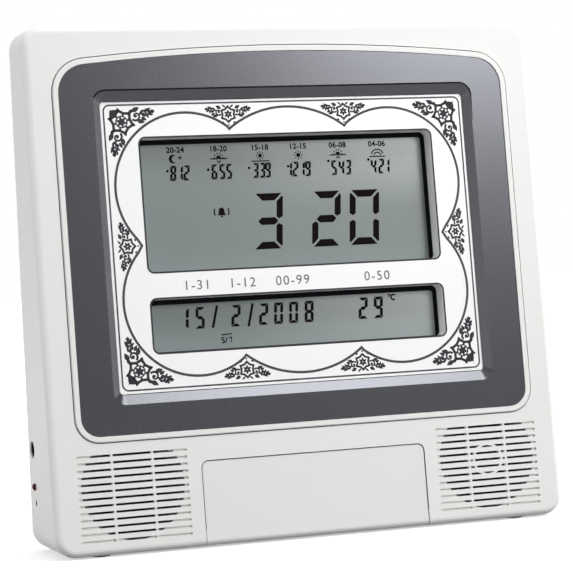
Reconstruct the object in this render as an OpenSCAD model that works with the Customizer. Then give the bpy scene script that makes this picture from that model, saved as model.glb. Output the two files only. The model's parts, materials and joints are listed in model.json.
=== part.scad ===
// Desk clock with two display windows, twin speakers and a drop-down control flap.
// Millimetres, +Z up. The face looks towards -Y and leans back. The origin is the
// middle of the footprint, on the surface that the clock stands on.

/* [Case] */
// Width of the case
case_w = 280; // [276:1:320]
// Height of the case above its feet
case_h = 268; // [264:1:310]
// Depth of the case at its base
base_depth = 53; // [52:0.5:60]
// Backward lean of the face, degrees
face_lean = 5.1; // [3:0.1:5.4]
// Radius of the case corners, seen from the front
corner_r = 10.5; // [9:0.5:13]
// Rounding of the front edge
edge_r = 3.5; // [2:0.25:4]
// Rounding of the rear edge
rear_edge_r = 1.2; // [0.6:0.1:1.8]
// Wall of the case
wall = 2.6; // [2.2:0.1:2.8]
// Height of the feet below the case
foot_h = 1; // [0.5:0.1:1.5]
// Radius of a foot
foot_r = 5; // [4:0.5:7]
// Depth of the seat of a foot
foot_seat = 1; // [0.6:0.1:1.4]

/* [Bezel] */
// Distance from the side of the case to the bezel
bezel_side = 17; // [16.6:0.2:22]
// Height of the bezel's lower edge along the face
bezel_bottom = 59.8; // [59.8:0.2:62]
// Distance from the top of the face to the bezel's highest point
bezel_top_margin = 14.6; // [14.4:0.2:18]
// Radius of the bezel's arched top
bezel_arch_r = 1113; // [900:10:1600]
// Radius of the bezel's upper corners
bezel_top_r = 15; // [12:0.5:18]
// Radius of the bezel's lower corners
bezel_bottom_r = 9.5; // [8:0.5:12]
// Thickness of the bezel
bezel_t = 5.5; // [5:0.1:6.5]
// Width of the bezel's flat face at the sides
bezel_face_w = 18; // [15:0.5:19]
// Width of the bezel's flat face below the panel
bezel_face_low = 15; // [14:0.5:17]
// Width of the bezel's flat face above the panel
bezel_face_high = 19.2; // [18:0.2:22]
// Width of the inner bevel at the sides
bevel_w = 4; // [3:0.25:5]
// Width of the inner bevel above and below
bevel_h = 5; // [4:0.25:6]
// Depth of the inner bevel
bevel_d = 2.9; // [2.4:0.1:3.2]
// Width of the bezel's hidden flange
flange_w = 4; // [3.4:0.1:4.2]
// Gap between the bezel and the case
bezel_gap = 0.15; // [0.1:0.05:0.3]
// Width of the raised lip around the bezel
lip_w = 3; // [2:0.25:3.5]
// Height of the raised lip
lip_h = 0.7; // [0.3:0.1:1.2]
// Width and depth of the groove outside the lip
groove_w = 0.6; // [0.3:0.1:1.0]

/* [Panel and displays] */
// Depth of the panel behind the face
panel_depth = 3.5; // [3.3:0.1:3.9]
// Thickness of the panel
panel_t = 2; // [1.5:0.1:2.4]
// Width of the panel's edge hidden behind the bezel
panel_edge = 2.4; // [1.6:0.2:3]
// Distance from the panel's visible edge to the windows
window_side = 20; // [19.5:0.5:27]
// Distance from the panel's visible top to the upper window
window_top = 19.5; // [18.5:0.5:26]
// Height of the lower window
lower_window_h = 27.3; // [22:0.1:30]
// Height of the strip between the windows
window_gap = 14.2; // [13:0.1:18]
// Distance from the bezel's lower edge to the lower window
window_rise = 40.4; // [39:0.2:43]
// Corner radius of the windows
window_r = 3; // [1:0.25:4]
// Depth of the display glass behind the face
glass_depth = 12.5; // [10:0.1:13]
// Thickness of a display
glass_t = 2.8; // [2:0.1:3]
// Margin of a display past its window at the sides
glass_side = 5; // [3:0.25:5.5]
// Margin of a display past its window above and below
glass_edge = 3.3; // [3:0.1:4]
// Height of the rubber contact strips
strip_h = 3.5; // [3:0.1:4]
// Thickness of the circuit boards
board_t = 1.6; // [1.2:0.1:2]

/* [Speakers] */
// Distance from the side of the case to a speaker's middle
speaker_side = 42.1; // [41.6:0.1:44]
// Height of a speaker's middle along the face
speaker_z = 31.3; // [31.2:0.1:31.5]
// Outer radius of a speaker
speaker_r = 27.8; // [26:0.1:27.9]
// Depth of a speaker
speaker_depth = 20; // [17:0.5:22]
// Radius of a speaker's magnet
magnet_r = 14; // [11:0.5:16]
// Slots in each grille
slot_count = 13; // [9:1:15]
// Distance between two slots
slot_pitch = 3.55; // [3.2:0.05:3.7]
// Height of a slot
slot_h = 1.15; // [0.8:0.05:1.5]
// Length of the slots
slot_l = 57.7; // [52:0.1:60]
// Height of the lowest slot along the face
slot_z0 = 7.5; // [6.5:0.1:9]
// Radius of the round area where the slots go right through
sound_r = 27.2; // [22:0.2:28]
// Height of the middle of that area along the face
sound_z = 33.8; // [31:0.2:35]
// Distance between the two ribs that cross the slots
rib_spacing = 21.3; // [18:0.1:26]
// Width of a rib
rib_w = 1.1; // [1:0.1:2]
// Outer radius of the ring in the right grille
ring_r = 8.6; // [7:0.1:10]
// Depth of the blind ends of the slots
slot_blind = 1.3; // [0.4:0.1:1.5]

/* [Control flap and keys] */
// Distance from the side of the case to the flap
flap_side = 78.7; // [78.5:0.1:82]
// Height of the flap's top edge along the face
flap_top = 43.3; // [42:0.1:43.6]
// Corner radius of the flap's top
flap_r = 3.5; // [1:0.25:5]
// Thickness of the flap
flap_t = 2.3; // [1.8:0.1:2.6]
// Gap around the flap
flap_gap = 0.5; // [0.3:0.05:0.6]
// Radius of the flap's hinge barrel
barrel_r = 2.9; // [2.6:0.1:3]
// Radius of the flap's hinge pins
pin_r = 1.5; // [1.2:0.1:1.7]
// Length of the flap's hinge pins
pin_l = 2; // [1.5:0.1:2.4]
// Running clearance of pins and plungers, on the radius
run_gap = 0.06; // [0.04:0.01:0.09]
// Depth kept behind the control pocket
pocket_rear = 40; // [39.5:0.25:41]
// Wall of the control pocket
pocket_wall = 2.8; // [2.6:0.1:3.2]
// Thickness of the plate that the keys pass through
key_plate_t = 2; // [1.5:0.1:2.5]
// Space between two key columns
key_space = 9; // [7:0.5:12]
// Height of a key
key_h = 9; // [7:0.25:10]
// Columns of keys
key_columns = 4; // [4:1:4]
// Distance between two key columns, as a share of the flap's half width
key_share = 0.44; // [0.41:0.01:0.45]
// Distance between the two key rows
key_pitch_z = 15; // [14:0.25:16]
// Height of the keys above their plate
key_stand = 3; // [2:0.25:3.5]
// Gap around a key
key_gap = 0.2; // [0.15:0.05:0.35]
// Travel of a key
key_travel = 0.5; // [0.3:0.05:0.6]

/* [Side inlet] */
// Distance of the inlet from the back
inlet_back = 9.7; // [9.4:0.1:10.5]
// Height of the inlet above the surface
inlet_z = 53.2; // [52:0.2:56]
// Radius of the inlet's ring
inlet_r = 4.2; // [3.8:0.1:4.6]
// Radius of the inlet's bore
inlet_bore_r = 2.85; // [2.6:0.05:3.2]
// Distance of the lamp from the back
lamp_back = 12.2; // [11.6:0.1:13]
// Height of the lamp above the surface
lamp_z = 34.2; // [33:0.2:36]
// Radius of the lamp
lamp_r = 2; // [1.5:0.1:2.3]
// How far the lamp stands out of the side
lamp_out = 1.6; // [0.2:0.1:2]
// Distance of the reset hole from the back
reset_back = 13.2; // [12.6:0.1:14.4]
// Height of the reset hole above the surface
reset_z = 25.8; // [25:0.1:26.5]
// Radius of the reset plunger
reset_r = 1.5; // [1.1:0.05:1.6]
// Distance from the side of the case to the side board
side_board_in = 18; // [17:0.25:20]

/* [Rear cover and batteries] */
// Thickness of the rear cover
cover_t = 2.5; // [2.3:0.1:3]
// Gap around the rear cover
cover_gap = 0.25; // [0.15:0.05:0.4]
// Distance between the two wall keyholes
keyhole_spacing = 120; // [80:5:150]
// Radius of a keyhole's round entry
keyhole_entry_r = 4.2; // [3.5:0.1:5]
// Half width of a keyhole's slot
keyhole_slot_r = 2.1; // [1.6:0.1:2.6]
// Distance from the top of the case to a keyhole's entry
keyhole_drop = 45; // [35:1:60]
// Radius of a battery cell
cell_r = 7.2; // [6.9:0.05:7.25]
// Length of a battery cell
cell_l = 50.5; // [49:0.1:51.5]
// Distance between two cells
cell_pitch = 15; // [14.7:0.1:15.6]
// Space for a contact spring
spring_l = 5.5; // [4.5:0.1:7]
// Thickness of the contact plates
contact_t = 0.4; // [0.3:0.05:0.6]
// Height of the battery bay's floor above the surface
bay_z0 = 14.2; // [14:0.1:15]
// Wall of the battery bay
bay_wall = 1.8; // [1.6:0.1:2.2]
// Thickness of the battery door
door_t = 2; // [1.6:0.1:2.1]
// Width of the ledge that the battery door rests on
door_ledge = 2.4; // [2:0.1:3]
// Gap around the battery door
door_gap = 0.3; // [0.25:0.05:0.5]

/* [Fasteners and leads] */
// Radius of the screw shanks
screw_r = 1.1; // [0.9:0.05:1.3]
// Length of the screw shanks
screw_l = 4; // [3:0.5:4.5]
// Radius of the washer heads
washer_r = 4.6; // [4.2:0.1:4.8]
// Radius of the plain heads
head_r = 2.4; // [2:0.1:2.8]
// Height of the screw heads
head_h = 1.4; // [1:0.1:1.6]
// Clearance of a screw in its bore, on the radius
screw_gap = 0.05; // [0.03:0.01:0.08]
// Radius of the screw bosses
boss_r = 3; // [2.6:0.1:3.1]
// Radius of the leads
lead_r = 1.2; // [0.9:0.1:1.4]

/* [Hidden] */
$fn = 48;
hull_fn = 32;
cut = 1;

// The face leans back about the lower front edge, which its rounding cuts off.
lean_cos = cos(face_lean);
lean_sin = sin(face_lean);
face_h = case_h / lean_cos;
edge_cut = edge_r * (lean_cos + lean_sin - 1);
front_y = -base_depth / 2 - edge_cut;
back_y = base_depth / 2;
cover_y = back_y - cover_t;
case_top = foot_h + case_h;

// Bezel outline, along the face.
bezel_half_w = case_w / 2 - bezel_side;
bezel_top = face_h - bezel_top_margin;
arch_z = bezel_top - bezel_arch_r;
top_corner_x = bezel_half_w - bezel_top_r;
top_corner_z = arch_z + sqrt(pow(bezel_arch_r - bezel_top_r, 2) - pow(top_corner_x, 2));
arch_angle = atan2(top_corner_z - arch_z, top_corner_x);
low_corner_x = bezel_half_w - bezel_bottom_r;
low_corner_z = bezel_bottom + bezel_bottom_r;
corner_steps = 8;
arch_steps = 20;

// Opening of the bezel, before and after its inner bevel.
bevel_half_w = bezel_half_w - bezel_face_w;
bevel_z0 = bezel_bottom + bezel_face_low;
bevel_z1 = bezel_top - bezel_face_high;
bevel_r = 6.5;
view_half_w = bevel_half_w - bevel_w;
view_z0 = bevel_z0 + bevel_h;
view_z1 = bevel_z1 - bevel_h;
view_r = 2.5;
panel_half_w = view_half_w + panel_edge;
panel_z0 = view_z0 - panel_edge;
panel_z1 = view_z1 + panel_edge;
panel_back = panel_depth + panel_t;
panel_gap = 0.2;
bezel_back = max(bezel_t, panel_back);

// Windows and displays.
window_half_w = view_half_w - window_side;
lower_z0 = bezel_bottom + window_rise;
lower_z1 = lower_z0 + lower_window_h;
upper_z0 = lower_z1 + window_gap;
upper_z1 = view_z1 - window_top;
glass_half_w = window_half_w + glass_side;
glass_gap = 0.2;
glass_back = glass_depth + glass_t;
board_y = glass_back + strip_h;
board_back = board_y + board_t;
frame_wall = 2.4;
block_half_w = glass_half_w + glass_gap + frame_wall;
block_z0 = lower_z0 - glass_edge - glass_gap - frame_wall;
block_z1 = upper_z1 + glass_edge + glass_gap + frame_wall;
flange_t = 2;
flange_half_w = bevel_half_w + 7;
flange_z0 = bevel_z0 - 6.8;
flange_z1 = bevel_z1 + 6.8;
post_r = 3.4;
post_x = block_half_w + post_r - 0.6;
post_bore = 6;
board_half_w = post_x + post_r + 0.4;
board_z0 = block_z0 - 1;
board_z1 = block_z1 + 1;
post_z = [block_z0 + 4, (block_z0 + block_z1) / 2, block_z1 - 4];
strip_w = 2.2;
strip_half_w = window_half_w;

// Screw places along the face.
frame_screw_x = bevel_half_w + 3.5;
frame_screw_places = concat(
    [for (sx = [-1, 1], z = [bevel_z0 + 10, (bevel_z0 + bevel_z1) / 2, bevel_z1 - 10])
        [sx * frame_screw_x, z]],
    [for (sx = [-1, 1], z = [bevel_z0 - 3.3, bevel_z1 + 3.3]) [sx * 0.48 * bevel_half_w, z]]);
bezel_h = bezel_top - bezel_bottom;
bezel_boss_out = boss_r + 0.7;
bezel_top_x = 0.33 * bezel_half_w;
bezel_low_x = 0.25 * bezel_half_w;
bezel_screw_places = concat(
    [for (sx = [-1, 1], z = [bezel_bottom + 0.15 * bezel_h, bezel_bottom + 0.72 * bezel_h])
        [sx * (bezel_half_w + flange_w + bezel_boss_out), z]],
    [for (sx = [-1, 1]) [sx * bezel_top_x, arch_top(bezel_top_x) + flange_w + bezel_boss_out]],
    [for (sx = [-1, 1]) [sx * bezel_low_x, bezel_bottom - flange_w - bezel_boss_out]]);
bezel_seat = wall + 0.2;

// Speakers.
speaker_x = case_w / 2 - speaker_side;
rim_t = 1;
rim_w = 3.8;
rim_step = 2;
cone_r = speaker_r - rim_w;
basket_r = magnet_r - 1;
basket_d = speaker_depth * 0.55;
sheet_t = 0.8;
dust_r = 8;
clamp_out = (speaker_r + boss_r + 0.7) / sqrt(2);
clamp_places = [for (sx = [-1, 1], sz = [-1, 1]) [sx * clamp_out, sz * clamp_out]];
speaker_seat = wall;
rim_back = speaker_seat + rim_t;
terminal_out = 17;
terminal_w = 8;
terminal_t = 3;
terminal_back = 13;
magnet_front = speaker_seat + basket_d;
magnet_back = speaker_seat + speaker_depth;

// Flap and keys. The hinge axis runs along X inside the flap's barrel.
flap_half_w = case_w / 2 - flap_side;
key_pitch_x = key_share * flap_half_w;
key_w = key_pitch_x - key_space;
pocket_depth = base_depth - pocket_rear;
flap_in = 0.4;
flap_back = flap_in + flap_t;
hinge_y = flap_in + barrel_r;
hinge_z = barrel_r + flap_in;
pocket_half_w = flap_half_w + flap_gap;
pocket_top = flap_top + flap_gap;
sill_y = hinge_y + barrel_r + 0.5;
sill_z = 6;
pin_bore_l = pin_l + 0.3;
key_plate_back = pocket_depth + key_plate_t;
key_front = pocket_depth - key_stand;
key_flange_t = 1;
key_flange_w = 1;
key_rest = 0.05;
key_stem_r = 2;
key_stem_l = 1.4;
key_slack = 0.05;
key_mid_z = (sill_z + pocket_top) / 2;
key_stem_end = key_plate_back + key_rest + key_flange_t + key_stem_l;
plunger_l = 0.6;
plunger_r = 1.7;
switch_w = 6;
switch_t = 3.5;
plunger_front = key_stem_end + key_travel + key_slack;
switch_front = plunger_front + plunger_l;
key_board_y = switch_front + switch_t;
key_board_back = key_board_y + board_t;
key_board_half_w = flap_half_w - 0.3;
key_board_z0 = sill_z + 1;
key_board_z1 = pocket_top - 0.5;
key_post_x = key_board_half_w - boss_r - 0.5;
key_post_z = [key_board_z0 + 4, key_board_z1 - 4];
latch_w = 10;
latch_t = 1.4;
latch_l = 2.4;

// Side inlet, lamp and reset, in from the left side of the case.
side_x = -case_w / 2;
side_in = side_x + wall;
side_board_x = side_x + side_board_in;
inlet_y = back_y - inlet_back;
lamp_y = back_y - lamp_back;
reset_y = back_y - reset_back;
inlet_gap = 0.2;
inlet_recess = 0.6;
inlet_body_w = 9;
inlet_body_h = 10.5;
inlet_bore_l = 9;
inlet_pin_r = 1;
reset_recess = 1.4;
reset_collar_t = 1;
reset_travel = 0.5;
side_switch_x = side_board_x - switch_t;
reset_end_x = side_switch_x - plunger_l - reset_travel - key_slack;
near_boss_y = 4.3;
near_boss_z = 10.7;
far_boss_y = 7.2;
far_boss_z = 1.3;
side_boss_places = [
    [inlet_y - near_boss_y, inlet_z - near_boss_z],
    [reset_y + far_boss_y, reset_z - far_boss_z]];
side_boss_r = 2.6;
side_board_front = 8.5;
side_board_low = 6;
side_board_high = 7;
side_board_y = [inlet_y - side_board_front, cover_y - 0.5];
side_board_z = [reset_z - side_board_low, inlet_z + side_board_high];
side_lead_drop = 8;

// Rear cover, its screws and the battery bay.
spring_base_r = 5.8;
spring_tip_r = 3.8;
spring_band = 0.8;
contact_w = 12.5;
cover_boss_r = 3.6;
cover_boss_x = case_w / 2 - wall - cover_boss_r - 2.4;
cover_boss_bore = 9;
cover_places = concat(
    [for (sx = [-1, 1], z = [bay_z0, 0.52 * case_h]) [sx * cover_boss_x, z]],
    [for (sx = [-1, 1]) [sx * 0.285 * case_w, case_top - wall - cover_boss_r - 0.8]]);
bay_half_w = (cell_l + spring_l) / 2 + contact_t;
bay_cells = 3;
cell_gap = 0.1;
bay_h = (bay_cells - 1) * cell_pitch + 2 * (cell_r + 0.5);
bay_z1 = bay_z0 + bay_h;
door_seat_y = back_y - door_t - 0.2;
cell_y = door_seat_y - cell_r - 0.3;
bay_floor_y = cell_y - cell_r - cell_gap;
bay_front_y = bay_floor_y - bay_wall;
bay_out_w = bay_half_w + door_ledge + bay_wall;
bay_out_z0 = bay_z0 - door_ledge - bay_wall;
bay_out_z1 = bay_z1 + door_ledge + bay_wall;
door_half_w = bay_half_w + door_ledge - door_gap;
door_z0 = bay_z0 - door_ledge + door_gap;
door_z1 = bay_z1 + door_ledge - door_gap;
door_y0 = door_seat_y + 0.1;
door_barrel_r = door_t / 2;
door_hinge_y = door_y0 + door_barrel_r;
door_hinge_z = door_z0 + door_barrel_r;
door_pin_r = 0.8;
door_pin_l = 1.2;
tongue_half_w = 6;
tongue_l = 9;
slit_w = 0.9;
nub_r = 2.75;
nub_l = 1;

// Board parts.
chip_r = 10;
small_chip_r = 7;
chip_t = 1.8;
chip_x = 0.35 * window_half_w;
chip_z = (upper_z0 + upper_z1) / 2 + 5;
amplifier_x = 0.74 * window_half_w;
amplifier_z = upper_z0 + 2;
amplifier_w = 10;
amplifier_h = 7;
amplifier_t = 2;
capacitor_r = 3.2;
capacitor_h = 8;
capacitor_z = lower_z0 + 0.8 * lower_window_h;
crystal_half_w = 4;
crystal_z = chip_z - chip_r - 8;
crystal_h = 4;
lead_far_x = 0.86 * window_half_w;
lead_near_x = 0.37 * window_half_w;
lead_drop = 6;
connector_z0 = board_z0 + 3;
connector_h = 5;
connector_t = 5;
connector_w = 9;
ribbon_w = 12;
ribbon_t = 0.8;
ribbon_y = 2.5;
key_connector_h = 5;
key_connector_z = key_board_z1 - 7;
lead_sides = 8;
lead_steps = 3;
feet_places = [for (sx = [-1, 1], sy = [-1, 1]) [sx * (case_w / 2 - 25), sy * (base_depth / 2 - 11)]];

// Colours.
white = "#ECECEA";
pale = "#DCDDDD";
slate = "#6A6D72";
board_green = "#2E6B3E";
steel = "#B9BBBE";
black = "#1B1B1D";

// Height of the bezel's arched top at a distance from the middle.
function arch_top(x) = arch_z + sqrt(pow(bezel_arch_r, 2) - pow(x, 2));

// The plane of the face, at a height above the surface.
function face_y(z) = front_y + (z - foot_h) * tan(face_lean);

// A point of the leaning face frame, in the clock's own frame.
function to_world(p) = [p[0],
    front_y + p[1] * lean_cos + p[2] * lean_sin,
    foot_h - p[1] * lean_sin + p[2] * lean_cos];

// Points along an arc.
function arc_points(x, z, r, a0, a1, steps) =
    [for (i = [0:steps]) let (a = a0 + (a1 - a0) * i / steps) [x + r * cos(a), z + r * sin(a)]];

// The bezel's outline, grown outwards.
function bezel_outline(grow) = concat(
    arc_points(top_corner_x, top_corner_z, bezel_top_r + grow, 0, arch_angle, corner_steps),
    arc_points(0, arch_z, bezel_arch_r + grow, arch_angle, 180 - arch_angle, arch_steps),
    arc_points(-top_corner_x, top_corner_z, bezel_top_r + grow, 180 - arch_angle, 180, corner_steps),
    arc_points(-low_corner_x, low_corner_z, bezel_bottom_r + grow, 180, 270, corner_steps),
    arc_points(low_corner_x, low_corner_z, bezel_bottom_r + grow, 270, 360, corner_steps));

// Places children in the leaning face frame: x across, y into the case, z up the face.
module face_frame() {
    translate([0, front_y, foot_h]) rotate([-face_lean, 0, 0]) children();
}

// Extrudes a drawing on the face between two depths.
module face_slab(y0, y1) {
    face_frame() translate([0, y1, 0]) rotate([90, 0, 0]) linear_extrude(y1 - y0) children();
}

// A cylinder square to the face.
module face_rod(x, z, y0, y1, r) {
    face_frame() translate([x, y0, z]) rotate([-90, 0, 0]) cylinder(r = r, h = y1 - y0);
}

// A cylinder along Y.
module back_rod(x, z, y0, y1, r) {
    translate([x, y0, z]) rotate([-90, 0, 0]) cylinder(r = r, h = y1 - y0);
}

// A cylinder along X.
module side_rod(y, z, x0, x1, r) {
    translate([x0, y, z]) rotate([0, 90, 0]) cylinder(r = r, h = x1 - x0);
}

// Extrudes a drawing of x and z along Y.
module back_slab(y0, y1) {
    translate([0, y1, 0]) rotate([90, 0, 0]) linear_extrude(y1 - y0) children();
}

// A rectangle with round corners, centred on x.
module rounded_rect(half_w, z0, z1, r) {
    translate([r - half_w, z0]) square([2 * (half_w - r), z1 - z0]);
    translate([-half_w, z0 + r]) square([2 * half_w, z1 - z0 - 2 * r]);
    for (sx = [-1, 1], z = [z0 + r, z1 - r]) translate([sx * (half_w - r), z]) circle(r = r);
}

// One thin slice of the case outline, parallel to the face.
module face_slice(depth, inset) {
    rise = depth * tan(face_lean);
    face_slab(depth, depth + 0.01)
        rounded_rect(case_w / 2 - inset, rise + inset, rise + face_h - inset, corner_r - inset);
}

// One thin slice of the case outline, parallel to the back.
module back_slice(depth, inset) {
    back_slab(back_y - depth - 0.01, back_y - depth)
        rounded_rect(case_w / 2 - inset, foot_h + inset, case_top - inset, corner_r - inset);
}

// Outer form of the case, with rounded front and rear edges.
module case_body() {
    hull($fn = hull_fn) {
        for (a = [0:18:90]) face_slice(edge_r * (1 - cos(a)), edge_r * (1 - sin(a)));
        for (a = [0:45:90]) back_slice(rear_edge_r * (1 - cos(a)), rear_edge_r * (1 - sin(a)));
    }
}

// Hollow of the case, open at the back.
module case_hollow() {
    intersection() {
        back_slab(front_y - cut, back_y + cut)
            rounded_rect(case_w / 2 - wall, foot_h + wall, case_top - wall, corner_r - wall);
        face_frame() translate([-case_w, wall, -case_h]) cube([2 * case_w, 4 * base_depth, 3 * case_h]);
    }
}

// The slots of one grille, as a drawing; ring cuts them in the middle of the right grille.
module grille_slots(ring) {
    rib_x = rib_spacing / 2;
    difference() {
        for (i = [0:slot_count - 1])
            translate([-slot_l / 2, slot_z0 + i * slot_pitch - slot_h / 2]) square([slot_l, slot_h]);
        for (sx = [-1, 1])
            translate([sx * rib_x - rib_w / 2, -cut]) square([rib_w, face_h / 2]);
        if (ring) grille_ring();
    }
}

// The ring that crosses the slots of the right grille.
module grille_ring() {
    translate([0, sound_z - 1.4]) difference() {
        circle(r = ring_r);
        circle(r = ring_r - rib_w);
    }
}

// Everything cut from the front wall for one grille.
module grille_cut(side) {
    face_slab(-cut, slot_blind) translate([side * speaker_x, 0]) grille_slots(side > 0);
    intersection() {
        face_slab(-cut, wall + cut) translate([side * speaker_x, 0]) grille_slots(side > 0);
        face_rod(side * speaker_x, sound_z, -2 * cut, wall + 2 * cut, sound_r);
    }
}

// Walls of the control pocket, before its hollow is cut.
module pocket_block() {
    face_slab(1, key_plate_back) translate([-pocket_half_w - pocket_wall, 2])
        square([2 * (pocket_half_w + pocket_wall), pocket_top + pocket_wall - 2]);
}

// Hollow of the control pocket, the hinge space and the hinge bores.
module pocket_hollow() {
    face_slab(-cut, sill_y) translate([0, -2 * cut])
        rounded_rect(pocket_half_w, -flap_r, pocket_top + 2 * cut, flap_r + flap_gap);
    face_slab(sill_y - cut, pocket_depth)
        translate([-pocket_half_w, sill_z]) square([2 * pocket_half_w, pocket_top - sill_z]);
    for (sx = [-1, 1]) face_frame()
        translate([sx * (pocket_half_w + pin_bore_l / 2 - flap_gap / 2), hinge_y, hinge_z])
            rotate([0, 90, 0]) cylinder(r = pin_r + run_gap, h = pin_bore_l, center = true);
}

// The place of one key on the face.
function key_place(i) = [((i % key_columns) - (key_columns - 1) / 2) * key_pitch_x,
    key_mid_z + (i < key_columns ? 0.5 : -0.5) * key_pitch_z];

// Front half of the case: face, side walls, grilles, control pocket and bosses.
module front_shell() {
    color(white) difference() {
        union() {
            difference() {
                case_body();
                case_hollow();
                grille_cut(-1);
                grille_cut(1);
            }
            pocket_block();
            face_slab(-lip_h, wall) polygon(bezel_outline(lip_w));
            shell_bosses();
        }
        face_slab(-lip_h - cut, wall + cut) polygon(bezel_outline(bezel_gap));
        face_slab(-lip_h - cut, -lip_h / 2) difference() {
            polygon(bezel_outline(lip_w + cut));
            polygon(bezel_outline(lip_w - lip_h / 2));
        }
        face_slab(-cut, groove_w) difference() {
            polygon(bezel_outline(lip_w + groove_w));
            polygon(bezel_outline(lip_w));
        }
        pocket_hollow();
        for (i = [0:7]) face_slab(pocket_depth - cut, key_plate_back + cut) translate(key_place(i))
            rounded_rect(key_w / 2 + key_gap, -key_h / 2 - key_gap, key_h / 2 + key_gap, 1.5);
        shell_bores();
        for (p = feet_places) translate([p[0], p[1], foot_h - cut])
            cylinder(r = foot_r + run_gap, h = cut + foot_seat);
        side_rod(inlet_y, inlet_z, side_x - cut, side_in + cut, inlet_r + inlet_gap);
        side_rod(lamp_y, lamp_z, side_x - cut, side_in + cut, lamp_r + run_gap);
        side_rod(reset_y, reset_z, side_x - cut, side_in + cut, reset_r + run_gap);
    }
}

// Solid bosses inside the front shell.
module shell_bosses() {
    for (side = [-1, 1], p = clamp_places)
        face_rod(side * speaker_x + p[0], speaker_z + p[1], wall / 2, rim_back, boss_r);
    for (p = bezel_screw_places) face_rod(p[0], p[1], wall / 2, bezel_back, boss_r);
    for (p = cover_places)
        back_rod(p[0], p[1], face_y(p[1]) + wall / 2, cover_y, cover_boss_r);
    for (sx = [-1, 1], z = key_post_z)
        face_rod(sx * key_post_x, z, key_plate_back - 0.5, key_board_y, boss_r);
    for (p = side_boss_places)
        side_rod(p[0], p[1], side_in - 0.5, side_board_x, side_boss_r);
}

// Blind screw bores in those bosses.
module shell_bores() {
    r = screw_r + screw_gap;
    for (side = [-1, 1], p = clamp_places)
        face_rod(side * speaker_x + p[0], speaker_z + p[1], rim_back - min(screw_l, rim_back - 1),
            rim_back + cut, r);
    for (p = bezel_screw_places) face_rod(p[0], p[1], bezel_back - screw_l - 0.2, bezel_back + cut, r);
    for (p = cover_places) back_rod(p[0], p[1], cover_y - cover_boss_bore, cover_y + cut, r);
    for (sx = [-1, 1], z = key_post_z)
        face_rod(sx * key_post_x, z, key_board_y - screw_l, key_board_y + cut, r);
    for (p = side_boss_places)
        side_rod(p[0], p[1], side_board_x - screw_l, side_board_x + cut, r);
}

// Rear cover with its battery bay and wall keyholes.
module rear_cover() {
    inset = wall + cover_gap;
    color(white) difference() {
        union() {
            back_slab(cover_y, back_y)
                rounded_rect(case_w / 2 - inset, foot_h + inset, case_top - inset, corner_r - inset);
            back_slab(bay_front_y, back_y)
                rounded_rect(bay_out_w, bay_out_z0, bay_out_z1, 2);
        }
        back_slab(bay_floor_y, back_y + cut)
            translate([-bay_half_w, bay_z0]) square([2 * bay_half_w, bay_h]);
        back_slab(door_seat_y, back_y + cut)
            rounded_rect(door_half_w + door_gap, door_z0 - door_gap, door_z1 + door_gap, door_gap + 0.3);
        for (sx = [-1, 1])
            side_rod(door_hinge_y, door_hinge_z, sx * (door_half_w + door_gap + door_pin_l / 2) - door_pin_l,
                sx * (door_half_w + door_gap + door_pin_l / 2) + door_pin_l, door_pin_r + run_gap);
        for (p = cover_places) {
            back_rod(p[0], p[1], cover_y - cut, back_y + cut, screw_r + 0.2);
            back_rod(p[0], p[1], back_y - head_h - 0.2, back_y + cut, head_r + 0.5);
        }
        for (sx = [-1, 1]) translate([sx * keyhole_spacing / 2, 0, case_top - keyhole_drop]) {
            back_rod(0, 0, cover_y - cut, back_y + cut, keyhole_entry_r);
            back_slab(cover_y - cut, back_y + cut)
                translate([-keyhole_slot_r, 0]) square([2 * keyhole_slot_r, 9]);
            back_rod(0, 9, cover_y - cut, back_y + cut, keyhole_slot_r);
        }
    }
}

// Grey bezel with a bevelled opening, a rebate for the panel and a hidden flange.
module bezel_frame() {
    color(slate) difference() {
        union() {
            face_slab(0, bezel_back) polygon(bezel_outline(0));
            face_slab(bezel_seat, bezel_back) polygon(bezel_outline(flange_w));
        }
        hull($fn = hull_fn) {
            face_slab(-0.01, 0) rounded_rect(bevel_half_w, bevel_z0, bevel_z1, bevel_r);
            face_slab(bevel_d, bevel_d + 0.01) rounded_rect(view_half_w, view_z0, view_z1, view_r);
        }
        face_slab(bevel_d, bezel_back + cut)
            rounded_rect(view_half_w + 0.05, view_z0 - 0.05, view_z1 + 0.05, view_r);
        face_slab(panel_depth, bezel_back + cut)
            rounded_rect(panel_half_w + panel_gap, panel_z0 - panel_gap, panel_z1 + panel_gap, view_r);
        for (side = [-1, 1]) {
            face_rod(side * speaker_x, speaker_z, bezel_seat - cut, bezel_back + cut, speaker_r + 0.4);
            for (p = clamp_places) face_rod(side * speaker_x + p[0], speaker_z + p[1],
                bezel_seat - 0.1, bezel_back + cut, washer_r + 0.4);
        }
        for (p = frame_screw_places)
            face_rod(p[0], p[1], bezel_back - screw_l + flange_t - 0.2, bezel_back + cut,
                screw_r + screw_gap);
    }
}

// The two window openings, as a drawing.
module window_drawing(grow) {
    rounded_rect(window_half_w + grow, lower_z0 - grow, lower_z1 + grow, window_r + grow);
    rounded_rect(window_half_w + grow, upper_z0 - grow, upper_z1 + grow, window_r + grow);
}

// White panel around the two windows.
module face_panel() {
    color("#FAFAFC") face_slab(panel_depth, panel_back) difference() {
        rounded_rect(panel_half_w, panel_z0, panel_z1, view_r);
        window_drawing(0);
    }
}

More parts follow.
